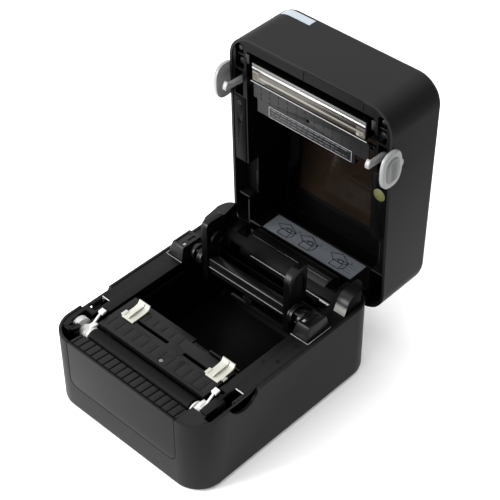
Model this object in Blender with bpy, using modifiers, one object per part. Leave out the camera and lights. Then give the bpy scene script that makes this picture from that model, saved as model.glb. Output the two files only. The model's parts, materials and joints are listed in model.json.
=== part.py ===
"""Receipt printer with a clamshell lid, modelled open.

Blender 4.5: blender --background --python part.py
Lengths below are in millimetres and reach Blender in metres through the helpers. Every piece is
described with the lid closed, X to the right, Y from the front face to the back, Z up from the table.
Each moving group hangs from an empty on its joint's axis, and the lid's empty holds it open.
"""

from math import atan2, cos, degrees, pi, radians, sin

import bmesh
import bpy
from mathutils import Matrix, Vector

MM = 0.001

# Driving dimensions
WIDTH = 178.0
DEPTH = 218.6
SEAM_Z = 79.6            # height of the plane where the lid meets the base
LID_HEIGHT = 64.4        # from the seam to the lid's top
CORNER_R = 25.0          # upright corners, seen from above
WALL = 2.6
SEAM_GAP = 0.5
CLEAR = 0.3              # between pieces that touch
OPEN_ANGLE = 88.7
HINGE_Y, HINGE_Z = 207.7, 59.8
REST_CENTRE_Y = 144.9    # middle of the open printer, front to back

HALF = WIDTH / 2
FOOT_HEIGHT = 2.1
BASE_TOP = SEAM_Z - SEAM_GAP / 2
LID_BOTTOM = SEAM_Z + SEAM_GAP / 2
BARREL_R = 19.4          # the base stays inside this radius behind the hinge
DECK_TOP = 78.8
BAY_HALF = 65.0          # half the width of the roll bay
BAY_FRONT, BAY_BACK = 78.0, 188.0

PLATEN_Y, PLATEN_Z, PLATEN_R = 26.2, 69.8, 8.0
PLATEN_HALF = 58.5
SHAFT_R = 3.0
GEAR_MODULE = 0.7
PLATEN_TEETH, IDLER_TEETH, MOTOR_TEETH = 26, 24, 12
GEAR_X = (-79.0, -74.0)
IDLER_Y, IDLER_Z = 35.4, 54.7
MOTOR_Y, MOTOR_Z = 45.6, 47.2
STUD_R = 2.0

PLATE_TOP = 78.3
GUIDE_X = 49.0           # middle of each paper guide
GUIDE_Y = 58.0           # line of the guides' slots and of their pinion
RACK_MODULE = 0.75
PINION_TEETH = 16

RAIL_Y = (149.0, 158.5)
RAIL_Z = (76.0, 85.0)
FLANGE_IN, FLANGE_OUT = 44.0, 52.0
HOLDER_PINION_Z = 65.0
HOLDER_TEETH = 12
ARM_X = (48.0, 58.0)     # hinge arms, left and right of the middle
LATCH_Y, LATCH_Z = 53.0, SEAM_Z + 12.0
HEAD_FACE = SEAM_Z - 1.5

BLACK = ((0.030, 0.030, 0.031, 1), 0.45, 0.0)
DARK = ((0.018, 0.018, 0.019, 1), 0.30, 0.0)
SATIN = ((0.045, 0.045, 0.047, 1), 0.40, 0.0)
WHITE = ((0.80, 0.80, 0.78, 1), 0.40, 0.0)
CREAM = ((0.68, 0.66, 0.56, 1), 0.45, 0.0)
GREY = ((0.45, 0.45, 0.46, 1), 0.45, 0.0)
RUBBER = ((0.025, 0.025, 0.026, 1), 0.80, 0.0)
STEEL = ((0.60, 0.60, 0.61, 1), 0.30, 1.0)
ALUMINIUM = ((0.72, 0.73, 0.75, 1), 0.28, 1.0)
CERAMIC = ((0.50, 0.42, 0.30, 1), 0.20, 0.0)
SMOKED = ((0.060, 0.040, 0.025, 1), 0.08, 0.0)
BOARD = ((0.02, 0.14, 0.05, 1), 0.50, 0.0)
LENS = ((0.10, 0.35, 0.65, 1), 0.25, 0.0)


# Scene and objects

for old in list(bpy.data.objects):
    bpy.data.objects.remove(old, do_unlink=True)

parts = bpy.data.collections.new("receipt_printer")
cutters = bpy.data.collections.new("cutters")
cutters.hide_render = True
for collection in (parts, cutters):
    bpy.context.scene.collection.children.link(collection)
materials = {}


def pivot(name, at, parent=None, turn=0.0):
    """An empty on a joint's axis, turned about X. at is its place with the lid closed."""
    empty = bpy.data.objects.new(name, None)
    empty.empty_display_size = 0.01
    parts.objects.link(empty)
    start = Vector(parent["at"]) if parent else Vector((0, 0, 0))
    empty["at"] = at
    empty.parent = parent
    empty.location = (Vector(at) - start) * MM
    empty.rotation_euler = (radians(turn), 0, 0)
    return empty


def material(name, look):
    if name not in materials:
        colour, roughness, metallic = look
        made = bpy.data.materials.new(name)
        made.use_nodes = True
        shader = made.node_tree.nodes["Principled BSDF"]
        shader.inputs["Base Color"].default_value = colour
        shader.inputs["Roughness"].default_value = roughness
        shader.inputs["Metallic"].default_value = metallic
        materials[name] = made
    return materials[name]


def scaled(points):
    return [Vector(p) * MM for p in points]


def object_from(name, mesh, home):
    """An object in the cutters' collection whose mesh is in closed-lid coordinates, held by home."""
    obj = bpy.data.objects.new(name, mesh)
    cutters.objects.link(obj)
    obj.parent = home
    obj.location = -Vector(home["at"]) * MM
    obj.hide_render = True
    obj.display_type = "WIRE"
    return obj


def box(name, x, y, z, home):
    mesh = bpy.data.meshes.new(name)
    build = bmesh.new()
    bmesh.ops.create_cube(build, size=1)
    low, high = scaled([(x[0], y[0], z[0]), (x[1], y[1], z[1])])
    size = high - low
    bmesh.ops.scale(build, vec=size, verts=build.verts)
    bmesh.ops.translate(build, vec=(low + high) / 2, verts=build.verts)
    build.to_mesh(mesh)
    build.free()
    return object_from(name, mesh, home)


def cylinder(name, axis, centre, radius, span, home, sides=32):
    """A rod along axis 'X', 'Y' or 'Z'. centre is the point where the axis crosses the other two."""
    turn = {"X": Matrix.Rotation(pi / 2, 4, "Y"), "Y": Matrix.Rotation(-pi / 2, 4, "X"), "Z": Matrix()}
    middle = (span[0] + span[1]) / 2
    place = list(centre)
    place.insert("XYZ".index(axis), middle)
    mesh = bpy.data.meshes.new(name)
    build = bmesh.new()
    bmesh.ops.create_cone(
        build, cap_ends=True, segments=sides, radius1=radius * MM, radius2=radius * MM,
        depth=(span[1] - span[0]) * MM,
        matrix=Matrix.Translation(Vector(place) * MM) @ turn[axis],
    )
    build.to_mesh(mesh)
    build.free()
    return object_from(name, mesh, home)


def outline(name, points, axis, span, home):
    """A flat outline, drawn as a closed curve, extruded along axis and capped at both ends.

    points are (y, z) when it is extruded along X, (x, z) along Y, and (x, y) along Z."""
    curve = bpy.data.curves.new(name, "CURVE")
    curve.dimensions = "2D"
    curve.fill_mode = "NONE"
    curve.extrude = (span[1] - span[0]) / 2 * MM
    spline = curve.splines.new("POLY")
    spline.points.add(len(points) - 1)
    for point, (u, v) in zip(spline.points, points):
        point.co = (u * MM, v * MM, 0, 1)
    spline.use_cyclic_u = True
    drawn = bpy.data.objects.new(name + "_curve", curve)
    cutters.objects.link(drawn)
    bpy.context.view_layer.update()
    graph = bpy.context.evaluated_depsgraph_get()
    mesh = bpy.data.meshes.new_from_object(drawn.evaluated_get(graph))
    bpy.data.objects.remove(drawn, do_unlink=True)
    turn = {
        "X": Matrix(((0, 0, 1, 0), (1, 0, 0, 0), (0, 1, 0, 0), (0, 0, 0, 1))),
        "Y": Matrix(((1, 0, 0, 0), (0, 0, -1, 0), (0, 1, 0, 0), (0, 0, 0, 1))),
        "Z": Matrix(),
    }[axis]
    middle = Vector((0, 0, 0))
    middle["XYZ".index(axis)] = (span[0] + span[1]) / 2 * MM
    build = bmesh.new()
    build.from_mesh(mesh)
    bmesh.ops.remove_doubles(build, verts=build.verts, dist=1e-6)
    bmesh.ops.transform(build, matrix=Matrix.Translation(middle) @ turn, verts=build.verts)
    bmesh.ops.edgeloop_fill(build, edges=[edge for edge in build.edges if edge.is_boundary])
    bmesh.ops.recalc_face_normals(build, faces=build.faces)
    build.to_mesh(mesh)
    build.free()
    mesh.materials.clear()
    return object_from(name, mesh, home)


def loft(name, loops, home, ring=False):
    """A skin through loops of equally many points, capped at both ends, or closed on itself as a ring."""
    mesh = bpy.data.meshes.new(name)
    build = bmesh.new()
    rows = [[build.verts.new(p) for p in scaled(loop)] for loop in loops]
    pairs = list(zip(rows, rows[1:] + rows[:1] if ring else rows[1:]))
    for lower, upper in pairs:
        for k in range(len(lower)):
            n = (k + 1) % len(lower)
            build.faces.new((lower[k], lower[n], upper[n], upper[k]))
    if not ring:
        build.faces.new(rows[0])
        build.faces.new(rows[-1])
    bmesh.ops.recalc_face_normals(build, faces=build.faces)
    bmesh.ops.triangulate(build, faces=build.faces)
    build.to_mesh(mesh)
    build.free()
    return object_from(name, mesh, home)


def turned(name, profile, axis_point, home, look_along="Z", steps=28):
    """A profile of (radius, height) from top to bottom, turned about an axis through axis_point."""
    mesh = bpy.data.meshes.new(name)
    mesh.from_pydata(
        [(r * MM, 0, h * MM) for r, h in profile], [(k, k + 1) for k in range(len(profile) - 1)], []
    )
    obj = object_from(name, mesh, home)
    obj.location += Vector(axis_point) * MM
    if look_along == "X":
        obj.rotation_euler = (0, pi / 2, 0)
    screw = obj.modifiers.new("turn", "SCREW")
    screw.steps = screw.render_steps = steps
    screw.use_merge_vertices = True
    screw.merge_threshold = 1e-5
    return obj


def change(obj, other, operation):
    modifier = obj.modifiers.new(other.name, "BOOLEAN")
    modifier.operation = operation
    modifier.object = other
    modifier.solver = "EXACT"
    return obj


def cut(obj, *others):
    for other in others:
        change(obj, other, "DIFFERENCE")
    return obj


def join(obj, *others):
    for other in others:
        change(obj, other, "UNION")
    return obj


def part(obj, look, material_name=None):
    """Makes a shape a piece of the printer: its own colour, shown and rendered."""
    cutters.objects.unlink(obj)
    parts.objects.link(obj)
    obj.hide_render = False
    obj.display_type = "TEXTURED"
    obj.data.materials.append(material(material_name or obj.name, look))
    obj.data.shade_smooth()
    obj.data.set_sharp_from_angle(angle=radians(35))
    return obj


# Outlines

def arc(u, v, radius, start, end, steps=8):
    """Points on an arc, in degrees."""
    angles = [radians(start + (end - start) * k / steps) for k in range(steps + 1)]
    return [(u + radius * cos(a), v + radius * sin(a)) for a in angles]


def rounded(x, y, radius, steps=6):
    """A rectangle with round corners, anticlockwise from the front right."""
    corners = (
        (x[1], y[0], -1, 1, -90), (x[1], y[1], -1, -1, 0), (x[0], y[1], 1, -1, 90), (x[0], y[0], 1, 1, 180)
    )
    points = []
    for cx, cy, sx, sy, start in corners:
        points += arc(cx + sx * radius, cy + sy * radius, radius, start, start + 90, steps)
    return points


def plan(inset, radius=None, steps=6):
    """The printer's outline from above, moved in by inset."""
    inner = CORNER_R - inset if radius is None else radius
    return rounded((inset - HALF, HALF - inset), (inset, DEPTH - inset), inner, steps)


def level(points, z):
    return [(x, y, z) for x, y in points]


def gear_outline(teeth, module, phase, centre):
    """Straight-sided teeth with free play. phase is the angle of the first tooth's middle."""
    pitch = teeth * module / 2
    tip, root = pitch + 0.85 * module, pitch - 1.1 * module
    points = []
    for k in range(teeth):
        for share, radius in ((-0.27, root), (-0.13, tip), (0.13, tip), (0.27, root)):
            angle = radians(phase + (k + share) * 360 / teeth)
            points.append((centre[0] + radius * cos(angle), centre[1] + radius * sin(angle)))
    return points


def sides():
    """The names and signs of the left and right copies of a piece."""
    return (("left", -1), ("right", 1))


def mirrored(span, sign):
    return tuple(sorted(sign * value for value in span))


# Pivots

frame = pivot("printer_frame", (0, 0, 0))
frame.location = (0, -REST_CENTRE_Y * MM, 0)
lid = pivot("lid_pivot", (0, HINGE_Y, HINGE_Z), frame, -OPEN_ANGLE)
latch = pivot("latch_pivot", (0, LATCH_Y, LATCH_Z), lid)
head = pivot("printhead_pivot", (0, 28, SEAM_Z), lid)
button = pivot("feed_button_pivot", (62, 20, SEAM_Z + LID_HEIGHT), lid)
platen = pivot("platen_pivot", (0, PLATEN_Y, PLATEN_Z), frame)
idler = pivot("idler_pivot", (GEAR_X[0], IDLER_Y, IDLER_Z), frame)
motor = pivot("motor_pivot", (GEAR_X[0], MOTOR_Y, MOTOR_Z), frame)
guide_spin = pivot("guide_pinion_pivot", (0, GUIDE_Y, 70), frame)
holder_spin = pivot("holder_pinion_pivot", (0, RAIL_Y[0], HOLDER_PINION_Z), frame)
rocker = pivot("rocker_pivot", (-58, DEPTH - 2, 24), frame)
bearing_pivots = {side: pivot(f"bearing_{side}_pivot", (0, PLATEN_Y, PLATEN_Z), frame) for side, _ in sides()}
guide_pivots = {
    side: pivot(f"guide_{side}_pivot", (s * GUIDE_X, GUIDE_Y, PLATE_TOP), frame) for side, s in sides()
}
flange_pivots = {
    side: pivot(f"flange_{side}_pivot", (s * FLANGE_IN, RAIL_Y[0], RAIL_Z[0]), frame) for side, s in sides()
}


# Base casing

def base_housing():
    """Outer walls with a rounded foot, an opening for the front panel and ports at the back."""
    loops = [
        level(plan(3.2), 2.0), level(plan(0.9), 2.9), level(plan(0.0), 5.4), level(plan(0.0), BASE_TOP),
        level(plan(WALL), BASE_TOP), level(plan(WALL), 6.4), level(plan(7.0), 6.4), level(plan(7.0), 2.0),
    ]
    housing = loft("base_housing", loops, frame, ring=True)
    back = arc(HINGE_Y, HINGE_Z, BARREL_R, 90, 40, 8)
    behind = back + [(DEPTH + 12, back[-1][1]), (DEPTH + 12, 95), (HINGE_Y, 95)]
    cut(housing, outline("hinge_sweep", behind, "X", (-95, 95), frame))
    cut(housing, box("panel_opening", (-63.6, 63.6), (-2, WALL + 1), (29.6, 90), frame))
    for side, sign in sides():
        scallop = arc(54, BASE_TOP + 8, 17, 180, 360, 12)
        scoop = [(54 + (u - 54) * 1.25, v) for u, v in scallop]
        cut(housing, outline(f"scallop_{side}", scoop, "X", mirrored((84, 95), sign), frame))
        slot = box(
            f"arm_slot_{side}", mirrored((ARM_X[0] - 1.5, ARM_X[1] + 1.5), sign), (205, 225), (51.5, 90),
            frame
        )
        cut(housing, slot)
    cut(
        housing,
        box("fanfold_slot", (-56, 56), (210, 225), (34, 41), frame),
        box("jack_opening", (53.6, 66.4), (210, 225), (15.6, 28.4), frame),
        box("usb_opening", (25.6, 38.4), (210, 225), (16.6, 28.4), frame),
        box("switch_opening", (-67.4, -48.6), (210, 225), (16.6, 31.4), frame),
    )
    part(housing, BLACK)


def base_plate():
    plate = loft("base_plate", [level(plan(7.4), 2.2), level(plan(7.4), 4.4)], frame)
    part(plate, BLACK)


def front_panel():
    """A flat cover in the front face with two round lower corners."""
    low, top = 30.0, BASE_TOP
    points = [(63.2, top), (-63.2, top)]
    points += arc(-55.2, low + 8, 8, 180, 270, 6)
    points += arc(55.2, low + 8, 8, 270, 360, 6)
    panel = outline("front_panel", points, "Y", (0, WALL), frame)
    part(panel, BLACK)


def exit_comb():
    """Ribbed ledge that the paper slides over on its way out."""
    ledge = outline(
        "exit_comb", [(2.9, 71.5), (16.8, 71.5), (16.8, 76.2), (2.9, 77.4)], "X", (-63, 63), frame
    )
    count, pitch = 17, 7.5
    for k in range(count):
        middle = (k - (count - 1) / 2) * pitch
        rib = outline(
            f"comb_rib_{k}", [(3.4, 76), (16.4, 75), (16.4, 77.4), (3.4, 78.6)], "X",
            (middle - 0.6, middle + 0.6), frame,
        )
        join(ledge, rib)
    part(ledge, SATIN)


def side_decks():
    """Flat ledges either side of the roll bay, each with a latch hole and its catch."""
    for side, sign in sides():
        deck = loft(f"side_deck_{side}", [level(plan(3.0), 76.4), level(plan(3.0), DECK_TOP)], frame)
        cut(
            deck,
            box(f"deck_inner_{side}", mirrored((-95, BAY_HALF), sign), (-5, 230), (70, 85), frame),
            box(f"front_well_{side}", mirrored((60, 81.5), sign), (-5, 37.5), (70, 85), frame),
            box(f"platen_well_{side}", mirrored((60, 72.2), sign), (30, 50), (70, 85), frame),
            box(f"bridge_room_{side}", mirrored((60, 69.8), sign), (186, 230), (70, 85), frame),
            box(f"deck_back_{side}", mirrored((60, 95), sign), (206, 230), (70, 85), frame),
        )
        wall = box(f"catch_wall_{side}", mirrored((72.4, 84.2), sign), (38, 41.6), (66.4, 77), frame)
        skirt = box(
            f"deck_skirt_{side}", mirrored((BAY_HALF + 0.2, BAY_HALF + 2.0), sign), (79, 186), (72, 77),
            frame
        )
        join(deck, wall, skirt)
        cut(deck, box(f"latch_hole_{side}", mirrored((75, 83.4), sign), (42.4, 60), (60, 90), frame))
        part(deck, SATIN, "side_deck")


def bay_tray():
    """Open tub that holds the paper roll."""
    half = BAY_HALF - 0.4
    outer = rounded((-half, half), (BAY_FRONT, BAY_BACK), 4, 3)
    inner = rounded((-half + 2, half - 2), (BAY_FRONT + 2, BAY_BACK - 2), 2, 3)
    shaped = rounded((-half + 4, half - 4), (BAY_FRONT + 8, BAY_BACK - 8), 2, 3)
    tray = loft("bay_tray", [
        level(shaped, 9.6), level(outer, 14), level(outer, 69.5), level(inner, 69.5), level(inner, 15),
        level(shaped, 11.6),
    ], frame)
    cut(
        tray,
        box("tray_back", (-70, 70), (BAY_BACK - 3, BAY_BACK + 3), (60, 80), frame),
        box("tray_slot", (-56, 56), (BAY_BACK - 5, BAY_BACK + 5), (34, 41), frame),
    )
    part(tray, DARK)


def guide_plate():
    """Plate behind the platen with the guides' slots and a lower shelf at the right."""
    plate = box("guide_plate", (-62, 62), (34.8, 71), (76.1, PLATE_TOP), frame)
    join(
        plate,
        box("plate_rear", (-62, 12), (70, 77.4), (76.1, PLATE_TOP), frame),
        box("plate_riser", (12, 62), (69.4, 71), (71.2, 77), frame),
        box("plate_shelf", (10, 62), (70, 77.6), (71.2, 73.2), frame),
        box("plate_ridge", (28, 62), (75.8, 77.4), (72, 76.8), frame),
    )
    cut(
        plate,
        box("slot_left", (-54, -2), (56.2, 59.8), (60, 90), frame),
        box("slot_right", (16, 54), (56.2, 59.8), (60, 90), frame),
        cylinder("sensor_hole", "Z", (8, 40), 2.2, (60, 90), frame, 20),
    )
    part(plate, SATIN)


def gap_sensor():
    sensor = cylinder("gap_sensor", "Z", (8, 40), 1.9, (70, PLATE_TOP - 0.2), frame, 20)
    join(sensor, box("sensor_body", (3, 13), (36.6, 44), (69, 75.6), frame))
    part(sensor, GREY)


def platen_brackets():
    """Steel side plates that carry the platen's bearings, the idler's stud and the motor."""
    for side, sign in sides():
        x = mirrored((69.6, 71.0), sign)
        back = 62.0 if sign < 0 else 37.0
        low = 28.0 if sign < 0 else 52.0
        bracket = box(f"platen_bracket_{side}", x, (14, back), (low, 76), frame)
        cut(
            bracket,
            cylinder(
                f"bearing_seat_{side}", "X", (PLATEN_Y, PLATEN_Z), 6.9, mirrored((60, 80), sign), frame, 28
            ),
            box(
                f"bearing_mouth_{side}", mirrored((60, 80), sign), (PLATEN_Y - 6.9, PLATEN_Y + 6.9),
                (PLATEN_Z, 90), frame
            ),
        )
        if sign < 0:
            cut(bracket, cylinder("motor_boss_hole", "X", (MOTOR_Y, MOTOR_Z), 3.4, (-80, -60), frame, 24))
            join(bracket, cylinder("idler_stud", "X", (IDLER_Y, IDLER_Z), STUD_R, (-79.6, -70.2), frame, 20))
        part(bracket, STEEL)


def corner_blocks():
    """Blocks at the front corners beside the platen."""
    for side, sign in sides():
        reach = (11.5, 16.2) if sign < 0 else (13, 36)
        block = box(f"corner_block_{side}", mirrored((73, 80.8), sign), reach, (68, 79.2), frame)
        part(block, DARK, "corner_block")


def stepper_motor():
    body = box(
        "stepper_motor", (-69.2, -46), (MOTOR_Y - 16.5, MOTOR_Y + 16.5), (MOTOR_Z - 16.5, MOTOR_Z + 16.5),
        frame
    )
    cut(body, *[
        box(f"motor_corner_{k}", (-70, -45), (MOTOR_Y + sy * 15 - 2.2, MOTOR_Y + sy * 15 + 2.2),
            (MOTOR_Z + sz * 15 - 2.2, MOTOR_Z + sz * 15 + 2.2), frame)
        for k, (sy, sz) in enumerate(((-1, -1), (1, -1), (1, 1), (-1, 1)))
    ])
    join(body, cylinder("motor_shaft", "X", (MOTOR_Y, MOTOR_Z), 1.9, (-79.6, -60), frame, 20))
    part(body, STEEL)


def main_board():
    board = box("main_board", (-58, 52), (92, 178), (5.4, 7.0), frame)
    join(
        board,
        box("board_chip", (-20, -4), (120, 136), (6.5, 8.6), frame),
        box("board_socket", (20, 40), (160, 170), (6.5, 9.0), frame),
    )
    part(board, BOARD)


def rear_ports():
    """Power inlet, data socket and power switch in the back wall."""
    jack = box("dc_jack", (54, 66), (204, DEPTH - 0.4), (16, 28), frame)
    cut(jack, cylinder("jack_bore", "Y", (60, 22), 3.6, (207, 230), frame, 24))
    join(jack, cylinder("jack_pin", "Y", (60, 22), 1.1, (205, DEPTH - 2), frame, 16))
    part(jack, DARK)
    usb = box("usb_port", (26, 38), (203, DEPTH - 0.4), (17, 28), frame)
    cut(usb, box("usb_mouth", (27.4, 36.6), (206, 230), (18.6, 26.4), frame))
    join(usb, box("usb_tongue", (29.4, 34.6), (205, DEPTH - 2), (20.6, 24.2), frame))
    part(usb, STEEL)
    bezel = box("switch_bezel", (-67, -49), (205, DEPTH + 0.9), (17, 31), frame)
    cut(bezel, box("rocker_window", (-65.4, -50.6), (207, 230), (18.6, 29.4), frame))
    part(bezel, DARK)
    face = DEPTH + 0.6
    profile = [(face, 24), (face + 1.6, 28.2), (face - 3.4, 28.4), (face - 7, 24), (face - 3.4, 19.6)]
    profile.append((face - 0.5, 19.6))
    part(outline("power_rocker", profile, "X", (-65, -51), rocker), BLACK)


def feet():
    for k, (x, y) in enumerate(((-60, 28), (60, 28), (60, 190), (-60, 190))):
        pad = turned(
            f"rubber_foot_{k + 1}", [(0, 2.05), (8, 2.05), (8, 0.5), (7.5, 0), (0, 0)], (x, y, 0), frame
        )
        part(pad, RUBBER, "rubber_foot")


# Hinge and rear of the base

def rear_bridge():
    """Round cover over the hinge line, with ribs that carry the hinge pins."""
    inner_r = BARREL_R - 2
    skin = arc(HINGE_Y, HINGE_Z, BARREL_R, 162, 70, 14) + arc(HINGE_Y, HINGE_Z, inner_r, 70, 162, 14)
    bridge = outline("rear_bridge", skin, "X", (-69.4, 69.4), frame)
    for side, sign in sides():
        for k, x in enumerate((ARM_X[0] - 3.6, ARM_X[1] + 1.6)):
            rib = arc(HINGE_Y, HINGE_Z, 6, 186, 354, 10)
            rib += [(HINGE_Y + 5, HINGE_Z + 18.2), (HINGE_Y - 5, HINGE_Z + 18.2)]
            join(bridge, outline(f"hinge_rib_{side}_{k}", rib, "X", mirrored((x, x + 2), sign), frame))
    for side, sign in sides():
        slot = mirrored((ARM_X[0] - 1.2, ARM_X[1] + 1.2), sign)
        cut(
            bridge,
            box(f"bridge_slot_{side}", slot, (HINGE_Y - 8, 225), (HINGE_Z + 8, 90), frame),
            box(f"bridge_notch_{side}", slot, (180, 192.5), (60, 90), frame),
            cylinder(
                f"pin_hole_{side}", "X", (HINGE_Y, HINGE_Z), STUD_R + 0.25, mirrored((40, 66), sign), frame,
                24
            ),
        )
    part(bridge, DARK)


def hinge_pins():
    for side, sign in sides():
        pin = cylinder(
            f"hinge_pin_{side}", "X", (HINGE_Y, HINGE_Z), STUD_R, mirrored((43.6, 62.4), sign), frame, 24
        )
        part(pin, STEEL)


def hinge_cheeks():
    """Raised shoulders either side of the hinge, inside the closed lid."""
    profile = [
        (172, DECK_TOP + CLEAR), (178, 81.5), (184, 91.5), (187, 93.8), (198, 94.8), (211, 95.5), (213.5, 93),
        (213.5, 72), (206.5, 72), (206.5, DECK_TOP + CLEAR),
    ]
    for side, sign in sides():
        cheek = outline(f"hinge_cheek_{side}", profile, "X", mirrored((72.2, 84.4), sign), frame)
        change(cheek, outline(f"cheek_plan_{side}", plan(WALL + 0.6), "Z", (60, 110), frame), "INTERSECT")
        part(cheek, DARK, "hinge_cheek")


def hinge_arms():
    """Lid arms that turn on the hinge pins."""
    top = LID_BOTTOM + 0.5
    profile = arc(HINGE_Y, HINGE_Z, 6, 180, 360, 12) + [(HINGE_Y + 6, top), (HINGE_Y - 6, top)]
    for side, sign in sides():
        arm = outline(f"hinge_arm_{side}", profile, "X", mirrored(ARM_X, sign), lid)
        cut(
            arm,
            cylinder(
                f"arm_bore_{side}", "X", (HINGE_Y, HINGE_Z), STUD_R + 0.25, mirrored((40, 66), sign), lid,
                24
            )
        )
        part(arm, BLACK)


# Roll holder

def roll_holder():
    half = 63.6
    rail = box("holder_rail", (-half, half), RAIL_Y, RAIL_Z, frame)
    part(rail, SATIN)
    profile = [
        (135.6, DECK_TOP + CLEAR), (138.4, 84), (145, 88.6), (148, 89), (160, 89), (163, 86),
        (164, DECK_TOP + CLEAR),
    ]
    for side, sign in sides():
        block = outline(f"holder_block_{side}", profile, "X", mirrored((64.2, 84.2), sign), frame)
        part(block, DARK)


def rack_outline(u, pitch_v, towards, module, count):
    """Teeth of a rack from u onward, with their tips towards -1 or +1 from the pitch line."""
    points = []
    pitch = pi * module
    for k in range(count):
        for share, depth in ((-0.27, -1.1), (-0.13, 0.85), (0.13, 0.85), (0.27, -1.1)):
            points.append((u + (k + share) * pitch, pitch_v + towards * depth * module))
    return points


def roll_flanges():
    """Upright plates that hold the roll's core. Each rides the rail and has a rack on the shared pinion."""
    top, front, back, low = 124.0, RAIL_Y[0] - 1.2, 172.0, 57.0
    plate = [(back, 91), (back, top - 2), (back - 2, top)] + arc(front + 14, top - 14, 14, 90, 180, 8)
    plate += [(front, 90)] + arc(front + 4, low + 4, 4, 180, 270, 4) + [(161, low), (163, 88)]
    pitch = pi * RACK_MODULE
    pitch_r = RACK_MODULE * HOLDER_TEETH / 2
    rack_y = (150.4, 153.4)
    for side, sign in sides():
        home = flange_pivots[side]
        flange = outline(f"roll_flange_{side}", plate, "X", mirrored((FLANGE_IN, FLANGE_OUT), sign), home)
        hub = cylinder(
            f"flange_hub_{side}", "X", (160, 106), 9, mirrored((FLANGE_IN - 3, FLANGE_IN + 1), sign), home,
            24
        )
        # The left rack runs over the pinion and the right one under it.
        toothed = rack_outline(-5 * pitch, -pitch_r, 1, RACK_MODULE, 24)
        shape = toothed + [
            (FLANGE_IN + 3, -pitch_r - 1.4), (FLANGE_IN + 3, -pitch_r - 3), (toothed[0][0], -pitch_r - 3)
        ]
        shape = [(sign * x, HOLDER_PINION_Z + sign * z) for x, z in shape]
        join(flange, hub, outline(f"flange_rack_{side}", shape, "Y", rack_y, home))
        other = HOLDER_PINION_Z + sign * pitch_r
        across = mirrored((FLANGE_IN - 0.5, FLANGE_OUT + 1), sign)
        cut(
            flange,
            box(f"rail_hole_{side}", mirrored((40, 56), sign), (RAIL_Y[0] - 0.4, RAIL_Y[1] + 0.4),
                (RAIL_Z[0] - 0.4, RAIL_Z[1] + 0.4), home),
            box(
                f"rack_hole_{side}", across, (rack_y[0] - 0.5, rack_y[1] + 0.5), (other - 3.7, other + 3.7),
                home
            ),
        )
        part(flange, DARK, "roll_flange")
    teeth = gear_outline(HOLDER_TEETH, RACK_MODULE, 90 + 180 / HOLDER_TEETH, (0, HOLDER_PINION_Z))
    wheel = outline("holder_pinion", teeth, "Y", (150.2, 153.6), holder_spin)
    part(wheel, WHITE)


# Platen drive

def platen_drive():
    roller = cylinder(
        "platen_roller", "X", (PLATEN_Y, PLATEN_Z), PLATEN_R, (-PLATEN_HALF, PLATEN_HALF), platen, 48
    )
    cut(roller, cylinder("roller_bore", "X", (PLATEN_Y, PLATEN_Z), SHAFT_R + 0.15, (-90, 90), platen, 24))
    part(roller, RUBBER)
    part(cylinder("platen_shaft", "X", (PLATEN_Y, PLATEN_Z), SHAFT_R, (-80.2, 72.4), platen, 24), STEEL)

    to_idler = degrees(atan2(IDLER_Z - PLATEN_Z, IDLER_Y - PLATEN_Y))
    to_motor = degrees(atan2(MOTOR_Z - IDLER_Z, MOTOR_Y - IDLER_Y))
    idler_step = 360 / IDLER_TEETH
    idler_phase = to_idler + 180 + idler_step / 2
    behind = (to_motor - idler_phase) % idler_step
    motor_phase = to_motor + 180 + behind * IDLER_TEETH / MOTOR_TEETH + 180 / MOTOR_TEETH
    wheels = (
        ("platen_gear", PLATEN_TEETH, to_idler, (PLATEN_Y, PLATEN_Z), platen, SHAFT_R + 0.15, WHITE),
        ("idler_gear", IDLER_TEETH, idler_phase, (IDLER_Y, IDLER_Z), idler, STUD_R + 0.15, WHITE),
        ("motor_pinion", MOTOR_TEETH, motor_phase, (MOTOR_Y, MOTOR_Z), motor, 2.05, STEEL),
    )
    for name, teeth, phase, centre, home, bore, look in wheels:
        wheel = outline(name, gear_outline(teeth, GEAR_MODULE, phase, centre), "X", GEAR_X, home)
        cut(wheel, cylinder(name + "_bore", "X", centre, bore, (-85, -70), home, 24))
        part(wheel, look)


def bearings():
    """White bushes at the platen's ends, each with a lever that lifts it out."""
    for side, sign in sides():
        home = bearing_pivots[side]
        bush = cylinder(
            f"bearing_{side}", "X", (PLATEN_Y, PLATEN_Z), 6.4, mirrored((60.2, 72.2), sign), home, 28
        )
        lever = [(PLATEN_Y - 1, 74.4), (33, 73.2), (38, 75.6), (43.5, 77.2)] + arc(45, 79.6, 3, -60, 150, 8)
        lever += [(38, 79.4), (33, 77.2), (PLATEN_Y + 1, 77.6)]
        join(
            bush,
            outline(f"lever_{side}", lever, "X", mirrored((65.2, 69), sign), home),
            cylinder(f"lever_knob_{side}", "X", (45, 79.6), 3, mirrored((64.4, 69.4), sign), home, 20),
        )
        cut(
            bush,
            cylinder(
                f"bush_bore_{side}", "X", (PLATEN_Y, PLATEN_Z), SHAFT_R + 0.15, mirrored((50, 80), sign),
                home, 24
            )
        )
        part(bush, WHITE, "bearing")


# Paper guides

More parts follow.
